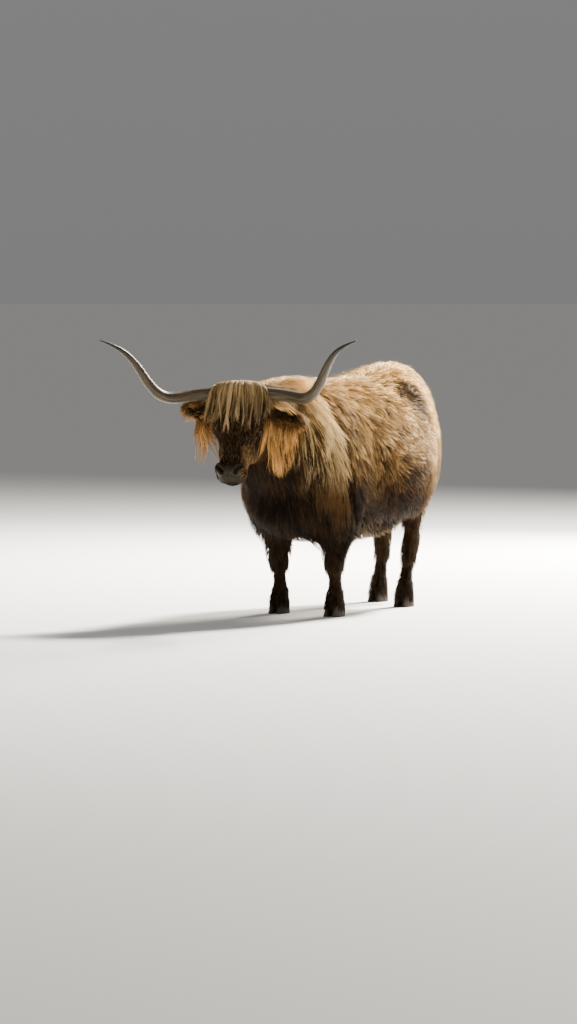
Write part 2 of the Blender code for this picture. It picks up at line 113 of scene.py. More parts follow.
# ---- the head's own frame, from the two eyes -------------------------------------------------------
EYES = {1: centre_of("eye_left"), -1: centre_of("eye_right")}
EYE_RADIUS = (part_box("eye_left")[1].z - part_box("eye_left")[0].z) / 2
LEFT = EYES[1] - EYES[-1]
LEFT.z = 0
LEFT.normalize()
FACING = Vector((LEFT.y, -LEFT.x, 0))
DOWN_FACE = FACING * math.sin(FACE_SLOPE) - UP * math.cos(FACE_SLOPE)
OFF_FACE = FACING * math.cos(FACE_SLOPE) + UP * math.sin(FACE_SLOPE)
POLL = (EYES[1] + EYES[-1]) / 2 - DOWN_FACE * EYE_ALONG - OFF_FACE * EYE_OFF


def on_head(along, off, aside=0.0):
    """A point of the head: along the face from the poll to the nose, off the face, and to the cow's left."""
    return POLL + DOWN_FACE * along + OFF_FACE * off + LEFT * aside


def off_poll(aside, ahead, rise):
    return POLL + LEFT * aside + FACING * ahead + UP * rise


def head_place(points):
    """The along, off and aside of many points at once."""
    shifted = points - np.array(POLL)
    return shifted @ np.array(DOWN_FACE), shifted @ np.array(OFF_FACE), shifted @ np.array(LEFT)


# ---- small tools -----------------------------------------------------------------------------------
def curve_through(keys, samples):
    """Rows read evenly along a smooth curve through the key rows, by a Catmull-Rom spline."""
    keys = np.array(keys, float)
    padded = np.vstack([2 * keys[0] - keys[1], keys, 2 * keys[-1] - keys[-2]])
    found = []
    for t in np.linspace(0, len(keys) - 1, samples):
        i = min(int(t), len(keys) - 2)
        u = t - i
        a, b, c, d = padded[i : i + 4]
        found.append(
            0.5 * (2 * b + (c - a) * u + (2 * a - 5 * b + 4 * c - d) * u**2 + (3 * b - a - 3 * c + d) * u**3)
        )
    return np.array(found)


def unit(rows):
    return rows / np.maximum(np.linalg.norm(rows, axis=-1, keepdims=True), 1e-9)


def smoothstep(low, high, values):
    t = np.clip((values - low) / (high - low), 0, 1)
    return t * t * (3 - 2 * t)


def bell(values, width):
    """1 where the values are 0, and next to nothing two widths away."""
    return np.exp(-((values / width) ** 2))


def away_from(place, points):
    return np.linalg.norm(points - np.array(place), axis=1)


def object_of(name, bm):
    mesh = bpy.data.meshes.new(name)
    bm.to_mesh(mesh)
    bm.free()
    return shown(name, mesh)


def shown(name, mesh):
    made = bpy.data.objects.new(name, mesh)
    bpy.context.scene.collection.objects.link(made)
    return made


def ring(centre, side, up, half_width, half_height, power, points):
    """A closed loop, round where the power is 2 and squarer where it is more."""
    made = []
    for angle in np.linspace(0, 2 * math.pi, points, endpoint=False):
        c, s = math.cos(angle), math.sin(angle)
        across = math.copysign(abs(c) ** (2 / power), c) * half_width
        rise = math.copysign(abs(s) ** (2 / power), s) * half_height
        made.append(Vector(centre) + Vector(side) * across + Vector(up) * rise)
    return made


def loft(name, rings):
    """A closed mesh through a row of rings, with a pole at each end."""
    bm = bmesh.new()
    loops = [[bm.verts.new(p) for p in points] for points in rings]
    for a, b in zip(loops, loops[1:]):
        for i in range(len(a)):
            j = (i + 1) % len(a)
            bm.faces.new((a[i], a[j], b[j], b[i]))
    for loop, turned in ((loops[0], True), (loops[-1], False)):
        pole = bm.verts.new(sum((v.co for v in loop), Vector()) / len(loop))
        for i in range(len(loop)):
            pair = (loop[i], loop[(i + 1) % len(loop)])
            bm.faces.new((pair[1], pair[0], pole) if turned else (pair[0], pair[1], pole))
    bmesh.ops.recalc_face_normals(bm, faces=bm.faces)
    for face in bm.faces:
        face.smooth = True
    return object_of(name, bm)


def tube(name, keys, samples, points):
    """A limb: key rows are x, y, z, half width to the side, half depth the other way."""
    rows = curve_through(keys, samples)
    rings = []
    for i, row in enumerate(rows):
        along = Vector(rows[min(i + 1, samples - 1)][:3]) - Vector(rows[max(i - 1, 0)][:3])
        along.normalize()
        across = SIDEWAYS - along * along.dot(SIDEWAYS)
        across.normalize()
        other = along.cross(across)
        rings.append(ring(row[:3], across, other, row[3], row[4], 2.0, points))
    return loft(name, rings)


def blob(centre, radii):
    """An egg, with its half sizes across the head, along the face and off it."""
    bm = bmesh.new()
    bmesh.ops.create_icosphere(bm, subdivisions=4, radius=1.0)
    axes = Matrix((LEFT, DOWN_FACE, OFF_FACE)).transposed() @ Matrix.Diagonal(Vector(radii))
    bmesh.ops.transform(bm, matrix=Matrix.Translation(centre) @ axes.to_4x4(), verts=bm.verts)
    return object_of("form", bm)


def settled(obj):
    """The object with its modifiers applied."""
    bpy.context.view_layer.update()
    graph = bpy.context.evaluated_depsgraph_get()
    mesh = bpy.data.meshes.new_from_object(obj.evaluated_get(graph))
    obj.modifiers.clear()
    obj.data = mesh
    return obj


def grown_together(name, forms, voxel, smoothing):
    """Forms that overlap, made into one closed surface. The forms themselves are used up."""
    bm = bmesh.new()
    for form in forms:
        bm.from_mesh(form.data)
        bpy.data.objects.remove(form)
    made = object_of(name, bm)
    remesh = made.modifiers.new("grow", "REMESH")
    remesh.mode = "VOXEL"
    remesh.voxel_size = voxel
    smooth = made.modifiers.new("soften", "SMOOTH")
    smooth.factor = 0.5
    smooth.iterations = smoothing
    return settled(made)


def points_of(mesh):
    found = np.empty(len(mesh.vertices) * 3)
    mesh.vertices.foreach_get("co", found)
    return found.reshape(-1, 3)


def normals_of(mesh):
    found = np.empty(len(mesh.vertices) * 3, np.float32)
    mesh.vertex_normals.foreach_get("vector", found)
    return found.reshape(-1, 3).astype(float)


def put_points(mesh, points):
    mesh.vertices.foreach_set("co", points.ravel())
    mesh.update()


def relaxed(mesh, points, times, where=None, factor=0.5):
    """Points drawn towards the middle of their neighbours, fully or only where a mask says."""
    ends = np.empty(len(mesh.edges) * 2, np.int32)
    mesh.edges.foreach_get("vertices", ends)
    a, b = ends.reshape(-1, 2).T
    size = len(points)
    count = np.maximum(np.bincount(a, minlength=size) + np.bincount(b, minlength=size), 1)
    share = factor if where is None else (factor * where)[:, None]
    for _ in range(times):
        totals = [np.bincount(a, row[b], size) + np.bincount(b, row[a], size) for row in points.T]
        points = points + (np.stack(totals, 1) / count[:, None] - points) * share
    return points


# ---- the skin: one closed surface under all the hair -----------------------------------------------
FEET = {}
for foot in ("front_left", "front_right", "hind_left", "hind_right"):
    corners = [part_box(f"claw_{foot}_{which}") for which in ("inner", "outer")]
    low = Vector(map(min, corners[0][0], corners[1][0]))
    high = Vector(map(max, corners[0][1], corners[1][1]))
    FEET[foot] = (low, high)
HOOF_TOP = FEET["front_left"][1].z
FLESH = ["trunk", "neck", "head", "leg_front_left", "leg_front_right", "leg_hind_left", "leg_hind_right"]


def behind_mantle(points):
    """How far each point is behind the long hair of the neck and shoulders.

    That hair ends further forward at the withers than low on the shoulder."""
    return points[:, 1] - (-0.20 - 0.32 * np.clip(points[:, 2] - 0.55, 0, 0.5))


def coat_depth(points, normals):
    """How far the skin lies inside the tips of the coat."""
    z = points[:, 2]
    mane = smoothstep(0.06, -0.10, behind_mantle(points))
    under = smoothstep(-0.25, -0.8, normals[:, 2])
    depth = 0.026 + 0.020 * mane + (0.024 + 0.020 * mane) * under
    leg = smoothstep(0.40, 0.30, z)
    depth = depth * (1 - leg) + 0.013 * leg
    foot = smoothstep(0.13, 0.07, z)
    depth = depth * (1 - foot) + 0.006 * foot
    along, off, _ = head_place(points)
    face = smoothstep(-0.24, -0.17, off) * smoothstep(-0.10, 0.02, along)
    return depth * (1 - face) + 0.012 * face


def flesh_forms(nodes):
    """The frame's solids, each grown enough to close the hair of space between them."""
    forms = []
    for node in nodes:
        bm = bmesh.new()
        bm.from_mesh(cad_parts[node].data)
        bmesh.ops.remove_doubles(bm, verts=bm.verts, dist=1e-5)
        bm.normal_update()
        for vert, step in [(v, v.normal * SEAM) for v in bm.verts]:
            vert.co += step
        forms.append(object_of("flesh", bm))
    return forms


def body_under_coat():
    """The flesh solids as one form, drawn in by the coat's depth in small steps, and even on the breast."""
    body = grown_together("body", flesh_forms(FLESH), BODY_VOXEL, 4)
    steps = 8
    points = points_of(body.data)
    depth = coat_depth(points, normals_of(body.data))
    for _ in range(steps):
        put_points(body.data, points)
        points = points - normals_of(body.data) * (depth / steps)[:, None]
        points = relaxed(body.data, points, 2)
    _, y, z = points.T
    breast = smoothstep(-0.25, -0.35, y) * smoothstep(0.42, 0.52, z) * smoothstep(0.86, 0.72, z)
    put_points(body.data, relaxed(body.data, points, 60, breast))
    return body


def head_forms():
    """The skull's long form, and eggs for the brows, jaws, cheek bones, nostrils, eyes, chin and poll."""
    # along the face, its front, the back of the jaw (both off the face), half width, squareness
    keys = [
        (-0.035, -0.045, -0.10, 0.045, 2.0),
        (-0.015, -0.018, -0.15, 0.078, 2.3),
        (0.025, 0.002, -0.168, 0.092, 2.6),
        (0.09, 0.005, -0.182, 0.099, 2.7),
        (0.165, 0.002, -0.196, 0.101, 2.6),
        (0.232, -0.006, -0.190, 0.082, 2.5),
        (0.298, -0.009, -0.154, 0.065, 2.4),
        (0.350, -0.004, -0.134, 0.062, 2.4),
        (0.392, 0.004, -0.126, 0.069, 2.5),
        (0.420, -0.004, -0.112, 0.062, 2.5),
        (0.434, -0.035, -0.085, 0.040, 2.2),
    ]
    rings = []
    for along, front, back, width, power in curve_through(keys, 50):
        middle, reach = (front + back) / 2, (front - back) / 2
        rings.append(ring(on_head(along, middle), LEFT, OFF_FACE, width, reach, power, 40))
    forms = [loft("head", rings)]
    pairs = [
        (0.143, -0.036, 0.084, (0.028, 0.040, 0.028)),  # brow
        (0.205, -0.122, 0.060, (0.030, 0.082, 0.066)),  # jaw
        (0.248, -0.072, 0.066, (0.013, 0.062, 0.016)),  # cheek bone
        (0.398, -0.022, 0.041, (0.027, 0.032, 0.029)),  # nostril
    ]
    for side in (-1, 1):
        for along, off, aside, radii in pairs:
            forms.append(blob(on_head(along, off, aside * side), radii))
        forms.append(blob(EYES[side], (0.0245, 0.0275, 0.0245)))
    forms.append(blob(on_head(0.404, -0.098, 0.0), (0.046, 0.030, 0.028)))
    forms.append(blob(on_head(-0.005, -0.050, 0.0), (0.088, 0.046, 0.045)))
    return forms


def ear_axes(side):
    """An ear's root and its directions: out along it, up across it, and towards its front."""
    out = (LEFT * side * 0.98 + FACING * 0.03 - UP * EAR_DROOP[side]).normalized()
    broad = (UP - out * out.dot(UP)).normalized()
    back = out.cross(broad).normalized() * side
    return on_head(0.012, -0.090, side * 0.100), out, broad, back if back.dot(FACING) > 0 else -back


def ear_form(side):
    """A broad leaf, cupped so that it opens forward. The left one droops towards its tip."""
    root, out, broad, front = ear_axes(side)
    # reach along the ear, half width, half thickness, depth of the cup, drop
    keys = [
        (-0.03, 0.022, 0.017, 0.0, 0.0),
        (0.005, 0.024, 0.017, 0.002, 0.0),
        (0.040, 0.034, 0.0125, 0.014, -0.002),
        (0.080, 0.040, 0.0105, 0.020, -0.008),
        (0.122, 0.036, 0.0095, 0.016, -0.016),
        (0.154, 0.024, 0.0085, 0.008, -0.026),
        (0.172, 0.010, 0.007, 0.0, -0.034),
    ]
    droop = EAR_DROOP[side] / EAR_DROOP[1]
    rings = []
    for reach, width, thick, cup, drop in curve_through(keys, 22):
        loop = []
        for angle in np.linspace(0, 2 * math.pi, 28, endpoint=False):
            c, s = (math.copysign(abs(v) ** 0.7, v) for v in (math.cos(angle), math.sin(angle)))
            cupped = thick * s + cup * (c * c - 0.35)
            loop.append(root + out * reach + UP * drop * droop + broad * (width * c) + front * cupped)
        rings.append(loop)
    return loft("ear", rings)


# the tail from the spine to its tip: x, y, z, half width, half depth
TAIL_KEYS = [
    (0.0, 0.485, 1.060, 0.030, 0.034),
    (0.0, 0.560, 1.082, 0.028, 0.030),
    (0.0, 0.630, 1.028, 0.024, 0.025),
    (0.0, 0.672, 0.920, 0.019, 0.020),
    (0.004, 0.686, 0.760, 0.015, 0.016),
    (0.008, 0.692, 0.620, 0.013, 0.014),
    (0.010, 0.696, 0.500, 0.011, 0.012),
    (0.012, 0.698, 0.420, 0.007, 0.008),
]
TAIL_MIDDLE, TAIL_REAR = 0.0105, 0.757  # the middle in x and the rear end of a solid that fits those keys


def tail_rows():
    """The tail's keys, moved to where the frame has its tail."""
    shift = Vector((centre_of("tail").x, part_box("tail")[1].y - TAIL_REAR))
    return [(x + (shift.x - TAIL_MIDDLE), y + shift.y, *rest) for x, y, *rest in TAIL_KEYS]


def coronets():
    """The narrow of each pastern, carried down inside the claws."""
    forms = []
    for low, high in FEET.values():
        x, y = (low.x + high.x) / 2, (low.y + high.y) / 2 + 0.008
        keys = [
            (x, y, HOOF_TOP - 0.018, 0.028, 0.030),
            (x, y + 0.002, HOOF_TOP, 0.034, 0.038),
            (x, y + 0.008, HOOF_TOP + 0.030, 0.034, 0.037),
            (x, y + 0.016, HOOF_TOP + 0.075, 0.031, 0.034),
        ]
        forms.append(tube("coronet", keys, 8, 20))
    return forms


def refined(obj, inside, times):
    """The faces that a test picks, cut into four, and again."""
    bm = bmesh.new()
    bm.from_mesh(obj.data)
    for level in range(times):
        centres = np.array([f.calc_center_median() for f in bm.faces])
        chosen = inside(centres, level)
        edges = {e for f, yes in zip(bm.faces, chosen) if yes for e in f.edges}
        bmesh.ops.subdivide_edges(bm, edges=list(edges), cuts=1, use_grid_fill=True)
    bm.to_mesh(obj.data)
    bm.free()


def near_face(centres, level):
    """The face at level 0, and only the muzzle and the eyes at level 1."""
    along, off, aside = head_place(centres)
    face = (along > 0.06) & (along < 0.50) & (off > -0.24) & (np.abs(aside) < 0.13)
    if level == 0:
        return face
    eyes = [away_from(EYES[side], centres) < 0.040 for side in (-1, 1)]
    return face & ((along > 0.335) | eyes[0] | eyes[1])


# the line of a nostril, on the head, from its round inner end to its slit
NOSTRIL = [(0.418, -0.009, 0.032), (0.409, 0.002, 0.041), (0.396, 0.000, 0.051), (0.386, -0.012, 0.059)]


def gap_to(points, line):
    """Each point's distance to a line of points read finely, and how far along the line that is."""
    rows = curve_through(line, 40)
    best, share = np.full(len(points), 9.0), np.zeros(len(points))
    for i, row in enumerate(rows):
        gap = away_from(on_head(*row), points)
        share = np.where(gap < best, i / (len(rows) - 1), share)
        best = np.minimum(best, gap)
    return best, share


def mouth_gap(along, off):
    """Distance from the line where the lips meet, which runs back from under the nose, a little inward."""
    return off + 0.077 + 0.10 * np.clip(0.436 - along, 0, 0.08)


def carve_face(points, normals):
    """Nostrils, lips, the groove of the nose and the lids, moved into the surface."""
    along, off, aside = head_place(points)
    for side in (-1, 1):
        gap, share = gap_to(points, [(a, o, s * side) for a, o, s in NOSTRIL])
        opening = 0.0125 - 0.0065 * share
        depth = 0.020 * (1 - 0.6 * share) * smoothstep(opening, opening * 0.35, gap)
        points = points - normals * depth[:, None]
        points = points + normals * (0.0035 * bell(gap - opening - 0.004, 0.0045))[:, None]
    gap = np.abs(mouth_gap(along, off))
    mouth = smoothstep(0.350, 0.368, along)
    points = points - normals * (0.0105 * bell(gap, 0.0040) * mouth)[:, None]
    points = points + normals * (0.0030 * bell(gap - 0.010, 0.006) * mouth)[:, None]
    groove = 0.0024 * bell(aside, 0.0028) * smoothstep(0.39, 0.405, along) * smoothstep(-0.075, -0.05, off)
    points = points - normals * groove[:, None]
    for side in (-1, 1):
        points = with_lids(points, side)
    return points


def eye_axes(side):
    out = (LEFT * side * 0.93 + OFF_FACE * 0.36 + UP * 0.02).normalized()
    level = (DOWN_FACE * 0.86 + FACING * 0.45).normalized()
    level = (level - out * out.dot(level)).normalized()
    return out, level, out.cross(level).normalized()


def with_lids(points, side):
    """Skin drawn over the eyeball as two lids, open in an almond."""
    out, level, high = eye_axes(side)
    if high.z < 0:
        high = -high
    away = points - np.array(EYES[side])
    reach = np.linalg.norm(away, axis=1)
    way = away / np.maximum(reach, 1e-6)[:, None]
    facing = way @ np.array(out)
    x = np.arcsin(np.clip(way @ np.array(level), -1, 1)) / 0.92
    y = np.arcsin(np.clip(way @ np.array(high), -1, 1))
    edge = np.where(y > 0, 0.52, 0.44) * np.clip(1 - x * x, 0, 1)
    shut = smoothstep(-0.04, 0.10, np.abs(y) - edge)
    lid = EYE_RADIUS + 0.0030 + 0.0016 * bell(np.abs(y) - edge - 0.12, 0.09)
    crease = 0.0022 * bell(y - edge - 0.38, 0.10)
    goal = (EYE_RADIUS - 0.005) * (1 - shut) + (lid - crease) * shut
    pull = smoothstep(0.10, 0.50, facing) * smoothstep(0.044, 0.029, reach)
    return points + way * ((goal - reach) * pull)[:, None]


def make_skin():
    """Body, head, ears, feet and tail grown together, with the face refined and carved."""
    forms = [body_under_coat(), *head_forms(), ear_form(1), ear_form(-1), *coronets()]
    forms.append(tube("dock", tail_rows(), 30, 14))
    skin = grown_together("skin", forms, SKIN_VOXEL, 4)
    thin = skin.modifiers.new("thin", "DECIMATE")
    thin.ratio = SKIN_KEPT
    settled(skin)
    refined(skin, near_face, 2)
    points = points_of(skin.data)
    along, off, aside = head_place(points)
    face = near_face(points, 0).astype(float)
    ears = (np.abs(aside) > 0.115) & (points[:, 2] > POLL.z - 0.15)
    ears &= (off > -0.22) & (along > -0.1) & (along < 0.2)
    points = relaxed(skin.data, points, 6, np.maximum(face, ears))
    put_points(skin.data, points)
    points = carve_face(points, normals_of(skin.data))
    points = relaxed(skin.data, points, 1, face, 0.3)
    put_points(skin.data, points)
    bm = bmesh.new()
    bm.from_mesh(skin.data)
    bmesh.ops.triangulate(bm, faces=bm.faces)
    bm.to_mesh(skin.data)
    bm.free()
    skin.data.shade_smooth()
    return skin


def unwrap(obj):
    """Islands by the way that the faces look, as one map over the whole skin."""
    bpy.ops.object.select_all(action="DESELECT")
    obj.select_set(True)
    bpy.context.view_layer.objects.active = obj
    obj.data.uv_layers.new(name="OFBake")
    bpy.ops.object.mode_set(mode="EDIT")
    bpy.ops.mesh.select_all(action="SELECT")
    bpy.ops.uv.smart_project(angle_limit=math.radians(70), island_margin=0.002)
    bpy.ops.object.mode_set(mode="OBJECT")


# ---- the coat --------------------------------------------------------------------------------------
def of_triangles(mesh, what):
    """The three vertices or the three loops of each triangle."""
    found = np.empty(len(mesh.loop_triangles) * 3, np.int32)
    mesh.loop_triangles.foreach_get(what, found)
    return found.reshape(-1, 3)


class Surface:
    """A closed mesh that tells how far outside it a spot stands."""

    def __init__(self, mesh):
        mesh.calc_loop_triangles()
        self.points = points_of(mesh)
        self.corner = of_triangles(mesh, "vertices")
        self.tree = bvhtree.BVHTree.FromPolygons(self.points.tolist(), self.corner.tolist())

    def beyond(self, spot):
        """How far a spot stands outside, and the nearest place and normal."""
        near, normal, _, _ = self.tree.find_nearest(spot)
        return (Vector(spot) - near).dot(normal), near, normal


class Ground(Surface):
    """The skin, for rooting hair on its triangles."""

    def __init__(self, skin):
        mesh = skin.data
        super().__init__(mesh)
        self.normals = normals_of(mesh)
        uv = np.empty(len(mesh.loops) * 2)
        mesh.uv_layers["OFBake"].data.foreach_get("uv", uv)
        self.uv = uv.reshape(-1, 2)[of_triangles(mesh, "loops")]
        place = self.points[self.corner]
        cross = np.cross(place[:, 1] - place[:, 0], place[:, 2] - place[:, 0])
        self.area = np.linalg.norm(cross, axis=1) / 2
        self.middle = place.mean(1)
        self.facing = unit(cross)

    def sample(self, weight, count, rng):
        """Roots spread over the triangles by area times weight: places, normals and places on the unwrap."""
        heap = np.cumsum(self.area * weight)
        picks = (np.arange(count) + rng.random(count)) / count * heap[-1]
        chosen = np.searchsorted(heap, picks).clip(0, len(heap) - 1)
        u, v = rng.random(count), rng.random(count)
        over = u + v > 1
        u[over], v[over] = 1 - u[over], 1 - v[over]
        share = np.stack([1 - u - v, u, v], 1)[:, :, None]
        place = (self.points[self.corner[chosen]] * share).sum(1)
        normal = unit((self.normals[self.corner[chosen]] * share).sum(1))
        return place, normal, (self.uv[chosen] * share).sum(1)

    def lifted(self, paths, margin):
        """Paths pushed out of the skin wherever they run too low over it."""
        steps = paths.shape[1]
        for k in range(1, steps):
            need = margin * min(1.0, 3.0 * k / steps)
            for i, spot in enumerate(paths[:, k].tolist()):
                rise, near, normal = self.beyond(spot)
                if rise < need:
                    paths[i, k] = near + normal * need
        return paths


class Outline(Surface):
    """The frame's own solids as one closed form, so that the hair can end where they end."""

    def __init__(self):
        claws = [f"claw_{foot}_{which}" for foot in FEET for which in ("inner", "outer")]
        nodes = FLESH + ["tail", "ear_left", "ear_right", "forelock", *claws]
        form = grown_together("outline", flesh_forms(nodes), BODY_VOXEL, 1)
        super().__init__(form.data)
        bpy.data.objects.remove(form)

    def drawn_in(self, paths, margin):
        """Locks that reach far outside are drawn back along themselves; the rest are laid on the outline."""
        for _ in range(5):
            for i, tip in enumerate(paths[:, -1].tolist()):
                if self.beyond(tip)[0] > margin + 0.018:
                    paths[i] = paths[i, 0] + (paths[i] - paths[i, 0]) * 0.86
        for k in range(2, paths.shape[1]):
            for i, spot in enumerate(paths[:, k].tolist()):
                rise, near, normal = self.beyond(spot)
                if margin < rise < margin + 0.025:
                    paths[i, k] = near + normal * margin
        for _ in range(2):
            paths[:, 1:-1] += ((paths[:, :-2] + paths[:, 2:]) / 2 - paths[:, 1:-1]) * 0.5
        return paths


def wobble(points, pace, seed):
    """A smooth field between -1 and 1 that changes over a few hand widths."""
    total = 0
    rng = np.random.default_rng(seed)
    for _ in range(4):
        total = total + np.sin(points @ (rng.normal(size=3) * pace) + rng.uniform(0, 6.28))
    return total / 2.6


def turned(flow, normals, amount):
    """A flow swung sideways over the skin by an amount at each point."""
    return flow + np.cross(normals, flow) * amount[:, None]


def grow_paths(root, normal, vigour, style, rng):
    """The middle lines of the locks: out of the skin, over along the flow, down with their weight and waved.

    vigour is each lock's share of the full length. Its tip is drawn to the leader of its tuft."""
    count, steps = len(root), style["steps"]
    length = (style["length"](root) if callable(style["length"]) else style["length"]) * vigour
    t = np.linspace(0, 1, steps + 1)[None, :, None]
    span = length[:, None, None]
    flow = style["lie"](root, normal)
    flow = unit(flow - normal * (flow * normal).sum(1, keepdims=True))
    side = np.cross(normal, flow)
    stray = rng.normal(0, style.get("stray", 0.18), (count, 1))
    flow = unit(flow + side * stray)
    side = np.cross(normal, flow)
    lift = style["lift"] * rng.uniform(0.6, 1.5, (count, 1, 1))
    rise = lift * (1 - np.exp(-3 * t)) / (1 - math.exp(-3))
    paths = root[:, None] + flow[:, None] * span * t + normal[:, None] * span * rise
    paths[:, :, 2] -= (span * style["droop"] * t * t)[:, :, 0]
    phase = rng.uniform(0, 6.28, (count, 1, 1))
    turns = style.get("turns", 1.0) * rng.uniform(0.75, 1.25, (count, 1, 1))
    swing = style["curl"] * span * t
    paths += side[:, None] * swing * np.sin(phase + 6.28 * turns * t)
    paths += normal[:, None] * swing * 0.5 * np.cos(phase + 6.28 * turns * t)
    leaders = rng.choice(count, max(4, int(count / style["clump"])), replace=False)
    tree = kdtree.KDTree(len(leaders))
    narrowed = root * (1, 1, style.get("grain", 1.0))
    for i in leaders:
        tree.insert(narrowed[i], int(i))
    tree.balance()
    lead = np.array([tree.find(spot)[1] for spot in narrowed])
    pull = style.get("pull", 0.6) * rng.uniform(0.5, 1.0, (count, 1, 1)) * t**1.4
    paths = paths + (paths[lead] - paths) * pull
    return ground.lifted(paths, style.get("margin", 0.003)), lead


def grow_tresses(root, normal, vigour, style, rng):
    """Long wavy tresses over the poll and the horn roots: two in three hang on the brow, one on the nape.

    Their arch gives their length and direction, so normal and vigour, which other styles need, go unused."""
    count, number = len(root), style["tresses"]
    t = np.linspace(0, 1, style["steps"] + 1)[None]
    lead = np.argsort(np.argsort(head_place(root)[2] + rng.normal(0, 0.006, count))) * number // count
    # each tress has its place from right (-1) to left (1), its layer, the height of its tip and its wave
    share = (np.arange(number) + 0.5) / number * 2 - 1 + rng.normal(0, 0.050, number)
    layer = np.arange(number) % 3
    tip = 0.182 - 0.030 * share**2 + rng.uniform(-0.080, 0.026, number)
    phase, pace = rng.uniform(0, 6.28, number), rng.uniform(6.0, 12.0, number)
    sway = 0.030 * share + rng.uniform(-0.034, 0.034, number)
    share, layer, tip, phase, pace, sway = (
        row[lead][:, None] for row in (share, layer, tip, phase, pace, sway)
    )
    # an arch over the poll, from its far side to the brow or the nape, then a fall that settles on the skin
    back = layer == 2
    bend = np.radians(np.where(back, 14, -34) + np.where(back, -118, 102) * np.minimum(t / DOME_SHARE, 1))
    fall = np.clip((t - DOME_SHARE) / (1 - DOME_SHARE), 0, 1)
    size = 0.081 - 0.005 * layer + rng.normal(0, 0.0045, (count, 1))
    size = size * np.sqrt(np.maximum(1 - (0.81 * share) ** 2, 0.1))
    sine, cosine = 0.574, 0.819  # of the face's slope
    along = -0.024 + size * (sine * np.sin(bend) - cosine * np.cos(bend))
    off = -0.021 + size * (cosine * np.sin(bend) + sine * np.cos(bend))
    along += (np.where(back, 0.22 * tip - 0.02, tip) + rng.normal(0, 0.015, (count, 1)) - along) * fall
    off += (np.where(back, -0.150, -0.010 - 0.004 * layer) - off) * (1 - (1 - fall) ** 1.5)
    wide = np.where(back, 0.105, np.where(share > 0, 0.126, 0.160))
    wide = wide * (0.50 + 0.50 * smoothstep(0, DOME_SHARE, t))
    aside = wide * share + 0.013 * np.sin(phase + pace * t) * t + sway * t * t
    # the single locks wind about the middle of their tress
    turn = rng.uniform(0, 6.28, (count, 1))
    loose = rng.uniform(0.005, 0.014, number)[lead][:, None] * np.sqrt(rng.random((count, 1)))
    loose = loose * (1 - 0.55 * t)
    aside += loose * np.cos(turn + 2.0 * t)
    off += loose * 0.7 * np.sin(turn + 2.0 * t) + 0.005 * np.cos(phase + pace * t) * t
    guide = np.array(POLL) + sum(
        part[:, :, None] * np.array(axis)
        for part, axis in ((along, DOWN_FACE), (off, OFF_FACE), (aside, LEFT))
    )
    joined = smoothstep(0.0, 0.16, t)[:, :, None]
    paths = root[:, None] + (guide - root[:, None]) * joined
    return ground.lifted(paths, style["margin"]), lead


def locks_mesh(name, paths, normal, width, uv, tone):
    """Each path as a closed, tapered, three-sided lock; all of them one mesh.

    The point attribute strand holds the place across the lock, the share of its length, and its tone."""
    count, rows = paths.shape[:2]
    rings = rows - 1
    t = np.linspace(0, 1, rows)
    along = unit(np.gradient(paths, axis=1))
    side = unit(np.cross(np.broadcast_to(normal[:, None], paths.shape), along))
    up = np.cross(along, side)
    profile = (0.65 + 0.35 * np.minimum(t / 0.25, 1)) * (1 - t) ** 0.75
    half = (width[:, None] * profile[None])[:, :rings, None]
    body, side, up = paths[:, :rings], side[:, :rings] * half, up[:, :rings] * half * 0.4
    corners = np.stack([body + side, body + up, body - side], 2).reshape(count, rings * 3, 3)
    verts = np.concatenate([corners, paths[:, -1:]], 1).reshape(-1, 3)
    last, per = (rings - 1) * 3, rings * 3 + 1
    edges = ((0, 1), (1, 2), (2, 0))
    quads = [(r + a, r + b, r + 3 + b, r + 3 + a) for r in range(0, last, 3) for a, b in edges]
    tris = [(last + a, last + b, per - 1) for a, b in edges] + [(0, 2, 1)]
    base = (np.arange(count) * per)[:, None, None]
    quad_loops = (np.array(quads)[None] + base).reshape(-1)
    tri_loops = (np.array(tris)[None] + base).reshape(-1)
    loops = np.concatenate([quad_loops, tri_loops]).astype(np.int32)
    tri_starts = len(quad_loops) + np.arange(len(tri_loops) // 3) * 3
    starts = np.concatenate([np.arange(len(quad_loops) // 4) * 4, tri_starts]).astype(np.int32)
    mesh = bpy.data.meshes.new(name)
    mesh.vertices.add(len(verts))
    mesh.vertices.foreach_set("co", verts.ravel())
    mesh.loops.add(len(loops))
    mesh.loops.foreach_set("vertex_index", loops)
    mesh.polygons.add(len(starts))
    mesh.polygons.foreach_set("loop_start", starts)
    mesh.update(calc_edges=True)
    mesh.shade_smooth()
    across = np.append(np.tile(np.array([1.0, 0.0, -1.0]), rings), 0.0)
    length = np.append(np.repeat(t[:rings], 3), 1.0)
    strand = np.empty((count, per, 3))
    strand[:, :, 0], strand[:, :, 1], strand[:, :, 2] = across, length, tone[:, None]
    mesh.attributes.new("strand", "FLOAT_VECTOR", "POINT").data.foreach_set("vector", strand.ravel())
    spot = np.empty((count, per, 2))
    spot[:, :, 0] = uv[:, None, 0] + across * PATCH * 0.45
    spot[:, :, 1] = uv[:, None, 1] + (length - 0.5) * PATCH * 0.9
    flat = spot.clip(0.0005, 0.9995).reshape(-1, 2)[loops]
    mesh.uv_layers.new(name="OFBake").data.foreach_set("uv", flat.ravel())
    return shown(name, mesh)


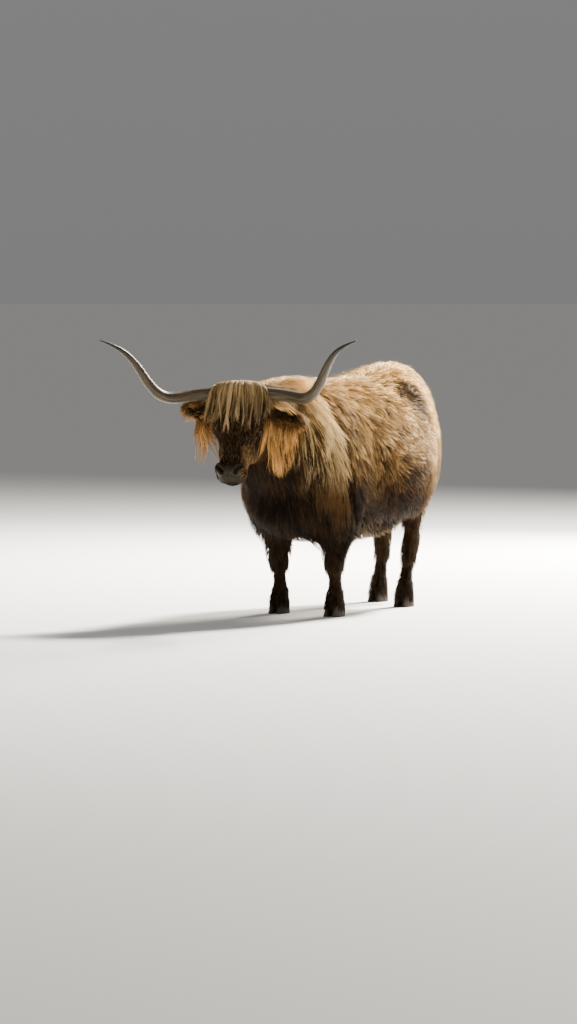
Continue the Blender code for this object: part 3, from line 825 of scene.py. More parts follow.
# ---- which way the hair lies -----------------------------------------------------------------------
def lie_of_body(points, normals):
    """Outward and back from the spine, then down the flank; straight down on the neck and breast."""
    neck = smoothstep(0.06, -0.12, behind_mantle(points))
    flow = np.empty_like(points)
    flow[:, 0] = np.tanh(points[:, 0] / 0.05) * (0.55 - 0.25 * neck)
    flow[:, 1] = 0.60 - 0.36 * neck
    flow[:, 2] = -1.0
    flow[:, 1] += 0.5 * smoothstep(-0.3, -0.8, normals[:, 2])
    turn = (0.60 - 0.30 * neck) * wobble(points, 5.0, 11) + (0.55 - 0.40 * neck) * wobble(points, 17.0, 12)
    flow = turned(unit(flow), normals, turn)
    away = unit(points - WHORL)
    near = bell(away_from(WHORL, points), 0.090)[:, None]
    return flow * (1 - near) + (0.7 * away + np.cross(normals, away)) * near


def lie_of_leg(points, normals):
    flow = np.zeros_like(points)
    flow[:, 1] = 0.18
    flow[:, 2] = -1.0
    return turned(flow, normals, 0.25 * wobble(points, 14.0, 5))


def lie_of_face(points, normals):
    """From the poll and the brows down to the muzzle, and back over the cheeks."""
    _, off, aside = head_place(points)
    spread = np.clip(aside / 0.09, -1, 1)[:, None]
    back = smoothstep(-0.05, -0.16, off)[:, None]
    flow = np.array(DOWN_FACE)[None] * (1 - 0.35 * back) + np.array(LEFT)[None] * spread * 0.25
    flow = flow - np.array(OFF_FACE)[None] * 0.75 * back
    return turned(flow, normals, 0.3 * wobble(points, 20.0, 9))


def ear_place(points):
    """Each point in the nearer ear's own directions: out along it, up across it, and towards its front."""
    found = np.zeros((len(points), 3))
    left = head_place(points)[2] > 0
    for side in (-1, 1):
        root, *axes = ear_axes(side)
        place = (points - np.array(root)) @ np.array(axes).T
        found = np.where((left == (side > 0))[:, None], place, found)
    return found


def ear_flow(points, outward, down):
    left = (head_place(points)[2] > 0)[:, None]
    flow = np.where(left, np.array(ear_axes(1)[1])[None], np.array(ear_axes(-1)[1])[None]) * outward
    flow[:, 2] -= down
    return flow


def lie_of_ear(points, normals):
    """Short hair that runs out along the ear."""
    return ear_flow(points, 1.0, 0.25) + np.array(FACING) * 0.15


def lie_of_fringe(points, normals):
    """Long hair that falls from the ear's lower edge and sways in towards the cheek."""
    return ear_flow(points, -0.10, 1.0)


def lie_down(points, normals):
    flow = np.zeros_like(points)
    flow[:, 2] = -1.0
    flow[:, 1] = 0.05
    return flow


# ---- how long the hair is, and how pale ------------------------------------------------------------
def flank_length(points):
    """Shorter on the back and in the whorl, and just behind the long hair of the shoulder."""
    length = 0.066 + 0.026 * smoothstep(1.02, 0.70, points[:, 2])
    length *= 1 - 0.20 * bell(behind_mantle(points) - 0.02, 0.04)
    return length * (1 - 0.42 * bell(away_from(WHORL, points), 0.060))


def mane_length(points):
    z = points[:, 2]
    edge = smoothstep(-0.16, -0.02, behind_mantle(points))
    return 0.125 + 0.04 * smoothstep(1.05, 0.85, z) + 0.035 * edge - 0.045 * smoothstep(0.45, 0.32, z)


def face_length(points):
    along, off, _ = head_place(points)
    length = 0.026 - 0.016 * smoothstep(0.30, 0.40, along)
    return length + 0.020 * smoothstep(-0.12, -0.17, off) * smoothstep(0.33, 0.22, along)


def fringe_length(points):
    """Longest under the middle of each ear, and short at its tip."""
    reach = ear_place(points)[:, 0]
    left = head_place(points)[2] > 0
    middle, spread = np.where(left, 0.055, 0.105), np.where(left, 0.085, 0.050)
    return 0.045 + 0.235 * bell(reach - middle, spread)


def leg_length(points):
    """Longer at the back of each fetlock, where it hangs over the hoof, and above the knee."""
    z = points[:, 2]
    return 0.034 + 0.026 * bell(z - 0.080, 0.03) + 0.045 * smoothstep(0.20, 0.30, z)


def flank_tone(points):
    """Darker in the groove where the coat parts behind the shoulder and low on the flank, as painted shade;
    a little paler again at the belly's edge and paler on the rump, as painted rim light; darker in the
    whorl.
    """
    z = points[:, 2]
    # painted shade in the groove behind the shoulder
    groove = bell(behind_mantle(points) - 0.015, 0.035) * smoothstep(1.02, 0.92, z)
    whorl = bell(away_from(WHORL, points), 0.085)
    # painted rim light: the rump paler, and spared the painted shade low down
    rear = smoothstep(0.44, 0.62, points[:, 1])
    # painted shade low on the flank, turning to a little painted rim light along the belly's edge
    low = smoothstep(0.84, 0.56, z) - 1.2 * smoothstep(0.50, 0.42, z)
    return 0.06 - 0.35 * groove - 3.2 * whorl - 0.46 * low * (1 - rear) + 0.42 * rear


def mane_tone(points):
    """Paler along the rear edge of the long hair, as painted light from behind, and darker on the neck's
    sides and low on the breast, as painted shade.
    """
    behind, z = behind_mantle(points), points[:, 2]
    # painted shade on the neck's sides and low on the breast
    shaded = smoothstep(-0.12, -0.26, behind) * smoothstep(1.02, 0.86, z)
    low = smoothstep(0.84, 0.60, z)
    # painted light along the rear edge
    edge = smoothstep(-0.12, -0.03, behind) * smoothstep(0.52, 0.70, z)
    return 0.84 * edge - (0.54 * shaded + 0.30 * low) * (1 - edge)


def face_tone(points):
    """Paler on the cheeks than down the middle of the face, as painted light on the cheeks and painted shade
    down the middle.
    """
    along, _, aside = head_place(points)
    return 0.85 * smoothstep(0.030, 0.058, np.abs(aside)) * smoothstep(0.20, 0.30, along) - 0.38


def ear_tone(points):
    """The right ear is dark over its leaf, and the left one in the hollow below its upper rim, as painted
    shade; the left ear's upper rim is paler, as painted light.
    """
    _, rise, front = ear_place(points).T
    right = head_place(points)[2] < 0
    hollow = smoothstep(0.018, 0.002, rise) * smoothstep(-0.075, -0.055, rise) * (front > -0.004)
    # painted light on the upper rim and painted shade in the hollow
    left_tone = 0.25 + 0.50 * (rise > 0.018) - 0.85 * hollow
    # painted shade over the right ear's leaf
    return np.where(right, -0.50 * smoothstep(-0.03, 0.0, rise), left_tone)


def bare_at(points):
    """1 on the hairless pad round the nostrils and along the lips, 0.7 on the lids, and 0 elsewhere."""
    along, off, aside = head_place(points)
    pad = smoothstep(0.380, 0.392, along - 0.010 * np.cos(aside * 60))
    pad = pad * smoothstep(0.060, 0.052, np.abs(aside)) * smoothstep(-0.083, -0.077, off)
    lips = smoothstep(0.013, 0.009, np.abs(mouth_gap(along, off))) * smoothstep(0.366, 0.376, along)
    bare = np.maximum(pad, lips) * (off > -0.16)
    for side in (-1, 1):
        lid = smoothstep(EYE_RADIUS + 0.009, EYE_RADIUS + 0.006, away_from(EYES[side], points))
        bare = np.maximum(bare, 0.7 * lid)
    return bare


def tail_at(points):
    """Whether each point lies on the hanging part of the tail."""
    rows = tail_rows()
    found = np.zeros(len(points), bool)
    for row in curve_through(rows, 60):
        if row[2] < 1.06:
            found |= away_from(row[:3], points) < row[4] + 0.010
    return found & (points[:, 1] > rows[1][1])


def leg_at(points):
    """Whether each point lies below the line where a leg leaves the trunk."""
    x, y, z = points.T
    found = np.zeros(len(points), bool)
    for foot, (low, high) in FEET.items():
        middle = (low.y + high.y) / 2
        if foot.startswith("front"):
            limits = (z < 0.300) & (np.abs(y - middle) < 0.20)
        else:
            roof = np.minimum(0.352 + (y - (middle - 0.14)) * 0.55, 0.60)
            limits = (z < roof) & (y > middle - 0.14)
        found |= limits & (x * low.x > 0)
    return found


def regions(points, facing):
    """Which part of the coat grows from each triangle of the skin, by its middle and where it faces."""
    z = points[:, 2]
    along, off, aside = head_place(points)
    nape = np.array(off_poll(0, -0.15, -0.10))
    head = ((points - nape) @ np.array(FACING * 0.95 + UP * 0.30) > 0) & (z > 0.55)
    tail = tail_at(points)
    leg = leg_at(points) & ~tail & (facing[:, 2] > -0.8)
    reach, rise, front = ear_place(points).T
    ear = (reach > 0.020) & (np.hypot(rise, front) < 0.075) & (np.abs(aside) > 0.108) & (z > POLL.z - 0.14)
    head |= ear
    lids = np.zeros(len(points), bool)
    for side in (-1, 1):
        lids |= away_from(EYES[side], points) < EYE_RADIUS + 0.0045
    face = head & ~ear & ~lids & ((bare_at(points) < 0.3) | (along < 0.3))
    ahead = (points - np.array(POLL)) @ np.array(FACING)
    below = np.maximum(along, 0)
    crown = face & (along < 0.052) & (ahead > -0.052) & (off > -0.130 + 0.7 * below)
    crown &= np.abs(aside) < 0.092
    behind = (off < -0.105 - 0.4 * below) | (ahead < -0.042)
    nape_hair = face & ~crown & (along < 0.115) & behind
    trunk = ~head & ~leg & ~tail
    mane = (trunk & (behind_mantle(points) < 0)) | nape_hair
    under = trunk & ~mane & (facing[:, 2] < -0.45) & (z < 0.50)
    inner = ear & (facing @ np.array(FACING) > 0.25)
    inner &= (np.abs(rise + 0.1 * reach) < 0.025) & (reach < 0.140)
    return {
        "crown": crown,
        "face": face & ~crown & ~nape_hair,
        "ear": ear & ~inner,
        "ear_inner": inner,
        "ear_edge": ear & (rise < -0.008 - 0.16 * reach),
        "mane": mane,
        "under": under,
        "flank": trunk & ~mane & ~under,
        "leg": leg & ~head,
        "tail": tail & ~head,
    }


def coat_piece(name, weight, count, style, seed):
    """One part of the coat: locks rooted over the skin by weight, grown, and kept near the solids."""
    rng = np.random.default_rng(seed)
    root, normal, uv = ground.sample(weight.astype(float), count, rng)
    vigour = rng.uniform(0.7, 1.2, count)
    paths, lead = style.get("grow", grow_paths)(root, normal, vigour, style, rng)
    paths = outline.drawn_in(paths, style.get("beyond", 0.004))
    paths[:, :, 2] = np.maximum(paths[:, :, 2], LOWEST_HAIR)
    width = style["width"] * rng.uniform(0.65, 1.25, count)
    # tone: each lock by itself, then its tuft, then its place on the body with its painted light and shade,
    # then its layer of the forelock, the lower one darker as painted shade
    tone = 0.5 + 0.5 * (rng.random(count) - 0.5)
    tone = tone + style.get("streaks", 0.5) * (rng.random(count)[lead] - 0.5)
    tone = tone + (style["tone"](root) if "tone" in style else 0) - style.get("under", 0) * (lead % 3 == 1)
    return locks_mesh(name, paths, normal, width, uv, np.clip(tone, 0, 1))


# ---- materials -------------------------------------------------------------------------------------
def linear(name):
    text = HEX[name].lstrip("#")
    parts = [int(text[i : i + 2], 16) / 255 for i in (0, 2, 4)]
    return [c / 12.92 if c <= 0.04045 else ((c + 0.055) / 1.055) ** 2.4 for c in parts] + [1.0]


def add(tree, kind, settings=None, **links):
    """Adds a node. A setting named after a socket sets it, any other sets a property; links join sockets."""
    node = tree.nodes.new(kind)
    for key, value in (settings or {}).items():
        if isinstance(key, int) or key in node.inputs:
            node.inputs[key].default_value = value
        else:
            setattr(node, key, value)
    for key, source in links.items():
        target = node.inputs[int(key[1:])] if key[0] == "_" else node.inputs[key.replace("_", " ")]
        tree.links.new(source, target)
    return node


def maths(tree, operation, a, b):
    return add(tree, "ShaderNodeMath", {"operation": operation}, _0=a, _1=b).outputs[0]


def scaled(tree, source, low, high, start=0.0, end=1.0):
    """A value that runs from low to high, turned into one that runs from start to end and no further."""
    limits = {"From Min": low, "From Max": high, "To Min": start, "To Max": end}
    return add(tree, "ShaderNodeMapRange", limits, _0=source).outputs[0]


def blend(tree, share, first, second):
    """One colour that turns into another, which is a socket or a plain colour."""
    mix = add(tree, "ShaderNodeMix", {"data_type": "RGBA"}, _0=share, _6=first)
    if isinstance(second, list):
        mix.inputs[7].default_value = second
    else:
        tree.links.new(second, mix.inputs[7])
    return mix.outputs[2]


def place_in(tree):
    """The place on the object, in metres, whole and as x, y and z."""
    place = add(tree, "ShaderNodeTexCoord").outputs["Object"]
    return place, *add(tree, "ShaderNodeSeparateXYZ", Vector=place).outputs


def strand_in(tree):
    """The attribute strand, whole and as its three values."""
    strand = add(tree, "ShaderNodeAttribute", {"attribute_name": "strand"}).outputs["Vector"]
    return strand, *add(tree, "ShaderNodeSeparateXYZ", Vector=strand).outputs


def noise(tree, where, scale, detail, **more):
    settings = {"Scale": scale, "Detail": detail, **more}
    return add(tree, "ShaderNodeTexNoise", settings, Vector=where).outputs["Fac"]


def stretched(tree, where, factors):
    return add(tree, "ShaderNodeVectorMath", {"operation": "MULTIPLY", 1: factors}, _0=where).outputs[0]


def ramp(tree, source, stops):
    node = add(tree, "ShaderNodeValToRGB", _0=source)
    ends = node.color_ramp.elements
    ends[0].position, ends[0].color = stops[0][0], stops[0][1]
    ends[1].position, ends[1].color = stops[-1][0], stops[-1][1]
    for place, colour in stops[1:-1]:
        ends.new(place).color = colour
    return node.outputs["Color"]


def stops_at(*pairs):
    """The stops of a ramp, from the place and the name of each colour."""
    return [(place, linear(name)) for place, name in pairs]


class Finish:
    """A new material, its nodes, and what its surface shows."""

    def __init__(self, name, roughness, specular=None):
        self.made = bpy.data.materials.new(name)
        self.made.use_nodes = True
        self.tree = self.made.node_tree
        self.sockets = self.tree.nodes["Principled BSDF"].inputs
        self.sockets["Roughness"].default_value = roughness
        if specular is not None:
            self.sockets["Specular IOR Level"].default_value = specular

    def shows(self, **sources):
        for name, source in sources.items():
            self.tree.links.new(source, self.sockets[name.replace("_", " ")])

    def bumped(self, distance, strength, height):
        """Fine relief of about that many metres. Its strength is a number or a socket."""
        bump = add(self.tree, "ShaderNodeBump", {"Distance": distance}, Height=height)
        if isinstance(strength, float):
            bump.inputs["Strength"].default_value = strength
        else:
            self.tree.links.new(strength, bump.inputs["Strength"])
        self.shows(Normal=bump.outputs["Normal"])


def coat_colour_and_painted_light(tree, stops):
    """The coat's colour by height, with a slow drift, as the hair and the skin under it share it. Besides
    the coat's own colour, the body's stops hold painted shade low down, and the forelock's hold painted
    sunlight on its top.

    On the neck, breast and head each colour is found up to 19 cm higher, so they come out darker, partly as
    painted shade."""
    place, _, y, z = place_in(tree)
    drift = {"operation": "MULTIPLY_ADD", 1: 0.34, 2: -0.17}
    shifted = add(tree, "ShaderNodeMath", drift, _0=noise(tree, place, 5.0, 3.0)).outputs[0]
    height = maths(tree, "ADD", z, shifted)
    # partly painted shade: the neck, breast and head are read lower on the ramp, so they come out darker
    height = maths(tree, "ADD", height, scaled(tree, y, -0.15, -0.50, 0.0, -0.19))
    return ramp(tree, height, stops)


def hair(name, roots, tips, roughness=0.62, sun=0.0):
    """Long dry hair, combed by weather: dark at the root, pale at the tip, each lock a little different.
    The dark roots are partly the hair's own colour and partly painted shade deep in the coat.

    roots and tips are stops of colour by height, and sun is how far the palest tips go to straw, partly the
    hair's own bleaching and partly painted sunlight."""
    look = Finish(name, roughness, 0.07)
    tree = look.tree
    strand, _, along, tone = strand_in(tree)
    # root to tip: the dark roots are partly the hair's own colour and partly painted shade deep in the coat
    reach = scaled(tree, along, 0.08, 0.85)
    share = maths(tree, "MULTIPLY", reach, scaled(tree, tone, 0.05, 0.55, 0.30))
    colour = blend(tree, share, coat_colour_and_painted_light(tree, roots), coat_colour_and_painted_light(tree, tips))
    if sun:
        # only from the shoulder up, where the straw is partly sun-bleaching and partly painted sunlight, and
        # in a thin band along the belly's rim as painted rim light
        _, _, y, z = place_in(tree)
        rim = maths(tree, "MULTIPLY", scaled(tree, z, 0.50, 0.44, 0.0, 0.25), scaled(tree, y, -0.12, 0.02))
        open_sky = maths(tree, "MAXIMUM", scaled(tree, z, 0.56, 0.84), rim)
        ends = maths(tree, "MULTIPLY", scaled(tree, tone, 0.72, 1.0, 0.0, sun), reach)
        colour = blend(tree, maths(tree, "MULTIPLY", ends, open_sky), colour, linear("straw_and_painted_sun"))
    # streaks of single hairs, about 0.4 mm wide on a lock
    streak = noise(tree, stretched(tree, strand, (7.0, 1.6, 41.0)), 1.0, 2.0)
    lightness = scaled(tree, tone, 0.0, 1.0, 0.42, 1.50)
    gain = maths(tree, "MULTIPLY", lightness, scaled(tree, streak, 0.3, 0.7, 0.5, 1.45))
    shaded = add(tree, "ShaderNodeVectorMath", {"operation": "SCALE"}, _0=colour, Scale=gain)
    look.shows(Base_Color=shaded.outputs["Vector"])
    look.bumped(0.0006, 0.35, streak)
    return look.made


# the body's colour by height, darker from the back down to the belly and legs: partly the coat's own colour
# and partly painted shade
BODY_ROOTS = stops_at((0.30, "leg_root"), (0.52, "belly_root"), (0.78, "flank_root"), (1.0, "back_root"))
BODY_TIPS = stops_at((0.30, "leg_tip"), (0.54, "belly_tip"), (0.80, "flank_tip"), (1.0, "back_tip"))


def skin_material():
    """Hide under the hair, coloured as the coat is but darker, as painted shade between the locks; the
    muzzle is bare, dark, damp and finely cobbled.
    """
    look = Finish("cow_hide", 0.80)
    tree = look.tree
    # painted shade: the hide that shows between the locks is taken darker than the coat's roots
    darker = {"operation": "SCALE", "Scale": 0.42}
    hide = add(tree, "ShaderNodeVectorMath", darker, _0=coat_colour_and_painted_light(tree, BODY_ROOTS)).outputs["Vector"]
    mask = add(tree, "ShaderNodeAttribute", {"attribute_name": "bare"}).outputs["Fac"]
    place = place_in(tree)[0]
    pad = ramp(tree, noise(tree, place, 38.0, 4.0), stops_at((0.35, "muzzle"), (0.75, "muzzle_lip")))
    look.shows(
        Base_Color=blend(tree, mask, hide, pad),
        Roughness=scaled(tree, mask, 0.0, 1.0, 0.80, 0.50),
        Specular_IOR_Level=scaled(tree, mask, 0.0, 1.0, 0.0, 0.15),
    )
    # the cobbles belong to the muzzle, and the lids stay smooth
    cells = add(tree, "ShaderNodeTexVoronoi", {"Scale": 210.0, "feature": "DISTANCE_TO_EDGE"}, Vector=place)
    look.bumped(0.0020, scaled(tree, mask, 0.75, 1.0, 0.0, 0.7), cells.outputs["Distance"])
    return look.made


def horn_material():
    """Weathered keratin with a dull shine: grey-brown, long pale streaks, and nearly black at the tip."""
    look = Finish("horn_keratin", 0.46, 0.32)
    tree = look.tree
    strand, _, along, _ = strand_in(tree)
    streak = noise(tree, stretched(tree, strand, (3.2, 4.0, 3.2)), 2.2, 6.0, Roughness=0.65)
    tone = ramp(tree, streak, stops_at((0.40, "horn_grey"), (0.66, "horn_pale")))
    look.shows(Base_Color=blend(tree, scaled(tree, along, 0.62, 0.90), tone, linear("horn_dark")))
    look.bumped(0.0008, 0.25, noise(tree, place_in(tree)[0], 160.0, 4.0))
    return look.made


def hoof_material():
    """Hoof horn, dull and dark, with dried mud from the sole up."""
    look = Finish("hoof_horn", 0.62)
    tree = look.tree
    place, _, _, z = place_in(tree)
    grain = noise(tree, place, 45.0, 5.0)
    level = add(tree, "ShaderNodeMath", {"operation": "MULTIPLY_ADD", 1: -0.05}, _0=grain, _2=z).outputs[0]
    look.shows(Base_Color=ramp(tree, level, stops_at((0.0, "hoof_mud"), (0.02, "hoof"))))
    look.bumped(0.001, 0.4, grain)
    return look.made


def eye_material():
    """A wet eyeball: nearly black iris that catches one soft light."""
    look = Finish("eye_wet", 0.22, 0.22)
    look.sockets["Base Color"].default_value = linear("iris")
    look.sockets["IOR"].default_value = 1.38
    return look.made


def floor_material():
    """Matt paint, nearly white, that takes soft shadows."""
    look = Finish("studio_floor_paint", 0.85)
    look.sockets["Base Color"].default_value = linear("floor")
    return look.made


def dress(obj, material, slot, *nodes):
    obj.data.materials.clear()
    obj.data.materials.append(material)
    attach(obj, "root")
    if nodes:
        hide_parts(*nodes)


# ---- horns, hooves, eyes ---------------------------------------------------------------------------
# a horn's middle line from the poll: aside, ahead, rise, radius
HORN_KEYS = [
    (0.040, -0.030, 0.000, 0.0275),
    (0.080, -0.020, 0.003, 0.0285),
    (0.159, 0.000, -0.002, 0.0285),
    (0.234, 0.020, -0.010, 0.0275),
    (0.312, 0.068, -0.018, 0.0265),
    (0.362, 0.105, 0.002, 0.0245),
    (0.403, 0.135, 0.052, 0.0222),
    (0.432, 0.160, 0.105, 0.0192),
    (0.462, 0.190, 0.154, 0.0158),
    (0.500, 0.220, 0.196, 0.0118),
    (0.547, 0.245, 0.225, 0.0070),
    (0.598, 0.258, 0.2467, 0.0022),
]


def horn(side, name):
    """The CAD horn's path, with growth rings near the root and a rounded fine tip."""
    rows = curve_through(HORN_KEYS, 120)
    points = [off_poll(side * r[0], r[1], r[2]) for r in rows]
    rings, strand = [], []
    count = 32
    for i, row in enumerate(rows):
        share = i / (len(rows) - 1)
        along = (points[min(i + 1, len(points) - 1)] - points[max(i - 1, 0)]).normalized()
        across = along.cross(UP).normalized()
        swell = 1 + 0.022 * math.sin(i * 1.15) * max(0.0, 1 - share * 2.4) + 0.01 * math.sin(i * 0.5)
        radius = row[3] * swell
        rings.append(ring(points[i], across, across.cross(along), radius, radius, 2.0, count))
        for angle in np.linspace(0, 2 * math.pi, count, endpoint=False):
            strand.append((math.cos(angle), share, math.sin(angle)))
    obj = loft(name, rings)
    strand += [(0, 0, 0), (0, 1, 0)]
    layer = obj.data.attributes.new("strand", "FLOAT_VECTOR", "POINT")
    layer.data.foreach_set("vector", np.array(strand, float).ravel())
    return obj


def claw(foot, which, name):
    """One claw: upright ringed walls, a rounded toe, and a flat sole with a worn edge."""
    low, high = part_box(f"claw_{foot}_{which}")
    x, y = (low.x + high.x) / 2, high.y - CLAW_HEEL
    half = (high.x - low.x) / 2
    inward = math.copysign(1, (FEET[foot][0].x + FEET[foot][1].x) / 2 - x)
    heel, toe = high.y - y, y - low.y
    # the wall's width as a share of the sole's, and its height
    levels = [(0.93, 0.0), (0.975, 0.0012), (0.985, 0.004), (0.975, 0.009)]
    levels += [(0.97 - 0.13 * k / 8 + 0.006 * math.sin(k * 2.2), 0.009 + 0.043 * k / 8) for k in range(1, 9)]
    rings = []
    for share, rise in levels:
        loop = []
        for angle in np.linspace(0, 2 * math.pi, 36, endpoint=False):
            across, ahead = math.cos(angle), math.sin(angle)
            px = math.copysign(abs(across) ** 0.8, across) * half * (1 - 0.20 * max(ahead, 0))
            px += inward * 0.2 * half * max(ahead, 0) * 0.6
            py = math.copysign(abs(ahead) ** 0.85, ahead) * (toe if ahead > 0 else heel)
            lean = 0.016 * rise / HOOF_TOP * (1 if ahead > 0 else 0.2)
            loop.append(Vector((x + px * share, y - py * share + lean, rise)))
        rings.append(loop)
    return loft(name, rings)


def eyeball(side, name):
    """The globe with its bulging cornea."""
    bm = bmesh.new()
    bmesh.ops.create_uvsphere(bm, u_segments=48, v_segments=32, radius=EYE_RADIUS)
    out = eye_axes(side)[0]
    for vert in bm.verts:
        facing = vert.co.normalized().dot(out)
        vert.co += out * 0.0022 * max(0.0, (facing - 0.72) / 0.28) ** 0.8
    for face in bm.faces:
        face.smooth = True
    bmesh.ops.translate(bm, vec=EYES[side], verts=bm.verts)
    return object_of(name, bm)


# ---- building it -----------------------------------------------------------------------------------
skin = make_skin()
unwrap(skin)
ground = Ground(skin)
outline = Outline()
parts = regions(ground.middle, ground.facing)

skin.data.attributes.new("bare", "FLOAT", "POINT").data.foreach_set("value", bare_at(ground.points))
dress(skin, skin_material(), "coat_brown", *FLESH, "tail", "ear_left", "ear_right")

body_hair = hair("coat_hair_body", BODY_ROOTS, BODY_TIPS, sun=0.55)
leg_hair = hair(
    "coat_hair_leg",
    stops_at((0.10, "leg_root"), (0.45, "belly_root")),
    stops_at((0.22, "leg_tip"), (0.52, "belly_tip")),
    roughness=0.7,
)
# the forelock: paler towards its top, golden even at the roots and straw at the tips there, as painted
# sunlight
fringe_hair = hair(
    "coat_hair_fringe",
    stops_at((0.78, "fringe_root"), (0.87, "flank_tip"), (0.95, "fringe_tip")),
    stops_at((0.80, "fringe_tip"), (0.95, "straw_and_painted_sun")),
    roughness=0.5,
    sun=0.35,
)
face_hair = hair(
    "coat_hair_face",
    stops_at((0.75, "face_root"), (0.98, "flank_root")),
    stops_at((0.75, "face_tip"), (0.98, "face_tip")),
)
ear_hair = hair(
    "coat_hair_ear",
    stops_at((0.80, "ear_root"), (1.0, "ear_root")),
    stops_at((0.72, "ear_tip"), (1.0, "back_tip")),
    sun=0.4,
)

# A style says how one part of the coat grows:
#   lie, length, tone  by the root's place: which way the hair lies, how long it is, how much paler or darker
#   lift, droop        how far a lock rises over the skin, and how far its tip falls, in its own lengths
#   curl, turns        the size and the number of its waves; stray is how far the directions differ
#   clump, pull        how many locks share a leader, and how closely they join it; a grain under 1 makes
#                      the tufts tall
#   streaks, under     how far the tone differs from tuft to tuft, and how much darker the lower layer is, as painted shade
#   width, steps       half a lock's width, and the number of its parts
#   margin, beyond     its least height over the skin, and how far it may stand past the solids
BODY = dict(
    lie=lie_of_body, length=flank_length, tone=flank_tone, beyond=0.008, lift=0.36, droop=0.08, curl=0.13,
    turns=0.9, steps=3, clump=7, width=0.0026, stray=0.32, pull=0.75, grain=0.7, streaks=0.9,
)
MANE = dict(
    BODY, length=mane_length, tone=mane_tone, beyond=0.011, lift=0.27, droop=0.14, curl=0.07, turns=1.1,
    steps=4, clump=8, width=0.0025, stray=0.14, pull=0.92, grain=0.30, streaks=1.4,
)
BELLY = dict(BODY, length=0.060, lift=0.26, droop=0.18, steps=4, width=0.0022)
WISPS = dict(BODY, lift=0.75, curl=0.20, steps=3, width=0.0010, stray=0.6, pull=0.2, beyond=0.016)
LEGS = dict(
    lie=lie_of_leg, length=leg_length, lift=0.26, droop=0.03, curl=0.08, steps=3, clump=10, width=0.0026
)
FACE = dict(
    lie=lie_of_face, length=face_length, tone=face_tone, lift=0.12, droop=0.05, curl=0.06, steps=2, clump=5,
    width=0.0015, margin=0.001,
)
EARS = dict(
    lie=lie_of_ear, length=0.055, tone=ear_tone, lift=0.42, droop=0.10, curl=0.05, steps=3, clump=8,
    width=0.0022, beyond=0.006,
)
INNER = dict(EARS, length=0.022, width=0.0016, steps=2)
FRINGE = dict(
    lie=lie_of_fringe, length=fringe_length, streaks=0.9, lift=0.10, droop=0.20, curl=0.025, turns=1.3,
    steps=6, clump=12, width=0.0019, pull=0.75, beyond=0.008,
)
TAIL = dict(lie=lie_down, length=0.150, lift=0.15, droop=0.05, curl=0.05, steps=5, clump=9, width=0.0028)
# the lower layer of tresses is darker by under, as painted shade between the layers
FORELOCK = dict(
    grow=grow_tresses, tresses=84, steps=8, width=0.0014, margin=0.004, beyond=0.012, streaks=1.0, under=0.34
)

x, y, z = ground.middle.T
left, rump, hind = x > 0, y >= RUMP_START, y >= 0.2
# more locks along the spine and on the poll, where the coat parts, and in the long hair of the right ear
spine = 1 + 1.3 * bell(x, 0.07) * (ground.facing[:, 2] > 0.3)
poll = bell(away_from(off_poll(0, -0.07, 0.02), ground.middle), 0.10)
right_ear = (head_place(ground.middle)[2] < 0) * bell(ear_place(ground.middle)[:, 0] - 0.105, 0.045)

pieces = [
    ("coat_flank_left", (parts["flank"] & left & ~rump) * spine, 9200, BODY, body_hair, "coat_gold"),
    ("coat_flank_right", (parts["flank"] & ~left & ~rump) * spine, 9200, BODY, body_hair, "coat_gold"),
    ("coat_rump_left", (parts["flank"] & left & rump) * spine, 9200, BODY, body_hair, "coat_gold"),
    ("coat_rump_right", (parts["flank"] & ~left & rump) * spine, 9200, BODY, body_hair, "coat_gold"),
    ("coat_mane_left", (parts["mane"] & left) * (spine + poll), 7000, MANE, body_hair, "coat_gold"),
    ("coat_mane_right", (parts["mane"] & ~left) * (spine + poll), 7000, MANE, body_hair, "coat_gold"),
    ("coat_belly", parts["under"], 2700, BELLY, body_hair, "coat_gold"),
    ("coat_wisps", parts["flank"] | parts["mane"], 3400, WISPS, body_hair, "coat_gold"),
    ("coat_legs_front", parts["leg"] & ~hind, 4700, LEGS, leg_hair, "coat_dark"),
    ("coat_legs_hind", parts["leg"] & hind, 5400, LEGS, leg_hair, "coat_dark"),
    ("coat_face", parts["face"], 8200, FACE, face_hair, "coat_brown"),
    ("coat_ears", parts["ear"], 2400, EARS, ear_hair, "coat_gold"),
    # the inside of each ear takes the face's dark hair, as painted shade under its rim
    ("coat_ears_inner", parts["ear_inner"], 700, INNER, face_hair, "coat_gold"),
    ("coat_ears_fringe", parts["ear_edge"] * (1 + 1.4 * right_ear), 1500, FRINGE, ear_hair, "coat_gold"),
    ("coat_tail", parts["tail"], 1500, TAIL, body_hair, "coat_brown"),
    ("coat_forelock", parts["crown"] * (1 + poll), 2500, FORELOCK, fringe_hair, "coat_gold"),
]
for number, (name, weight, count, style, look, slot) in enumerate(pieces):
    made = coat_piece(name, weight, count, style, 100 + number)
    dress(made, look, slot, *(["forelock"] if name == "coat_forelock" else []))

horn_look, hoof_look, eye_look = horn_material(), hoof_material(), eye_material()
for side, label in ((1, "left"), (-1, "right")):
    dress(horn(side, f"horn_shell_{label}"), horn_look, "horn", f"horn_{label}")
    dress(eyeball(side, f"eyeball_{label}"), eye_look, "eye", f"eye_{label}")
for foot in FEET:
    for which in ("inner", "outer"):
        made = claw(foot, which, f"hoof_{foot}_{which}")
        dress(made, hoof_look, "hoof", f"claw_{foot}_{which}")

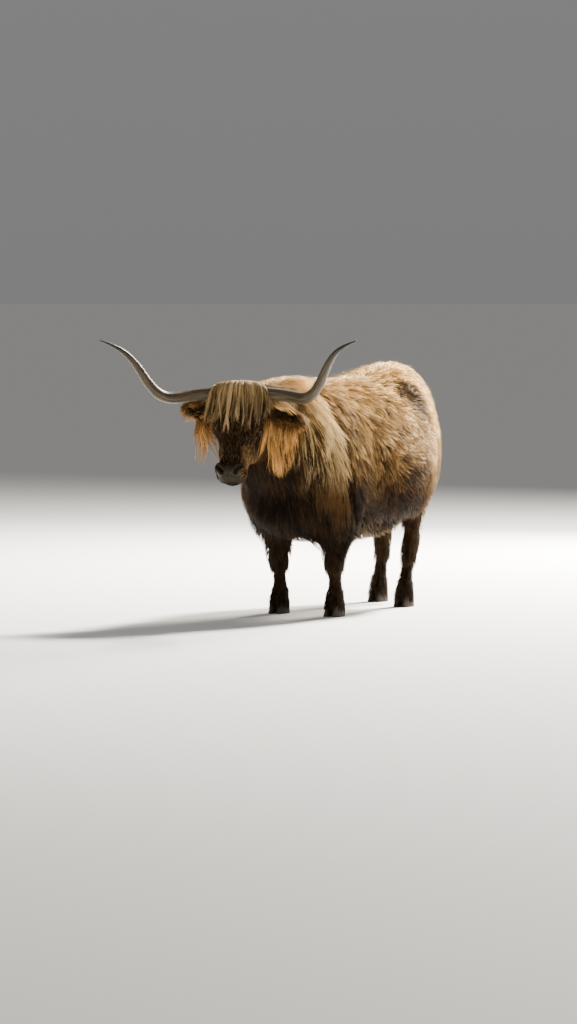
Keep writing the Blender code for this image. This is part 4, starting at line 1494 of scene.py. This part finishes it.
# ---- floor, light, camera --------------------------------------------------------------------------
FLOOR_RADIUS = 300.0
VIEW_TURN = math.radians(27)  # the camera looks from the front and the left
RIGHT_OF_VIEW = Vector((math.cos(VIEW_TURN), math.sin(VIEW_TURN), 0))
INTO_VIEW = Vector((-math.sin(VIEW_TURN), math.cos(VIEW_TURN), 0))
CAMERA_PLACE = (10.537, -21.007, 1.57)
CAMERA_DIP = math.radians(2.66)
CAMERA_LENS = 175.8  # mm
MIDDLE = Vector((0, 0, 0.7))  # what the lights are aimed at

bm = bmesh.new()
bmesh.ops.create_circle(bm, cap_ends=True, radius=FLOOR_RADIUS, segments=64)
floor = object_of("studio_floor", bm)
floor.data.materials.append(floor_material())
floor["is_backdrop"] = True


def softbox(name, right, into, up, size, power, tint):
    """A round soft light, placed as the camera sees it and aimed at the cow."""
    data = bpy.data.lights.new(name, "AREA")
    data.shape = "DISK"
    data.size = size
    data.energy = power
    data.color = tint
    lamp = bpy.data.objects.new(name, data)
    bpy.context.scene.collection.objects.link(lamp)
    lamp.location = MIDDLE + RIGHT_OF_VIEW * right + INTO_VIEW * into + UP * up
    lamp.rotation_euler = (MIDDLE - lamp.location).to_track_quat("-Z", "Y").to_euler()


softbox("key", 3.8, 5.2, 6.0, 1.4, 5400, (1.0, 0.96, 0.90))
softbox("rim", 3.2, 6.2, 1.8, 1.2, 2300, (1.0, 0.93, 0.80))
softbox("fill", -4.0, -6.0, 3.0, 4.0, 100, (0.98, 0.98, 1.0))

world = bpy.data.worlds.new("studio")
bpy.context.scene.world = world
world.use_nodes = True
# the air is a little dimmer at the floor's far edge, so that hardly a line shows where they meet
direction = add(world.node_tree, "ShaderNodeTexCoord").outputs["Generated"]
climb = add(world.node_tree, "ShaderNodeSeparateXYZ", Vector=direction).outputs["Z"]
air = world.node_tree.nodes["Background"].inputs
air["Color"].default_value = (0.87, 0.87, 0.865, 1)
world.node_tree.links.new(scaled(world.node_tree, climb, 0.0, 0.35, 0.245, 0.32), air["Strength"])

camera_data = bpy.data.cameras.new("camera")
camera_data.lens = CAMERA_LENS
camera_data.clip_end = 1000
camera = bpy.data.objects.new("camera", camera_data)
bpy.context.scene.collection.objects.link(camera)
camera.location = CAMERA_PLACE
camera.rotation_mode = "QUATERNION"
camera.rotation_quaternion = (
    INTO_VIEW * math.cos(CAMERA_DIP) - UP * math.sin(CAMERA_DIP)
).to_track_quat("-Z", "Y")
bpy.context.scene.camera = camera

low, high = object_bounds()
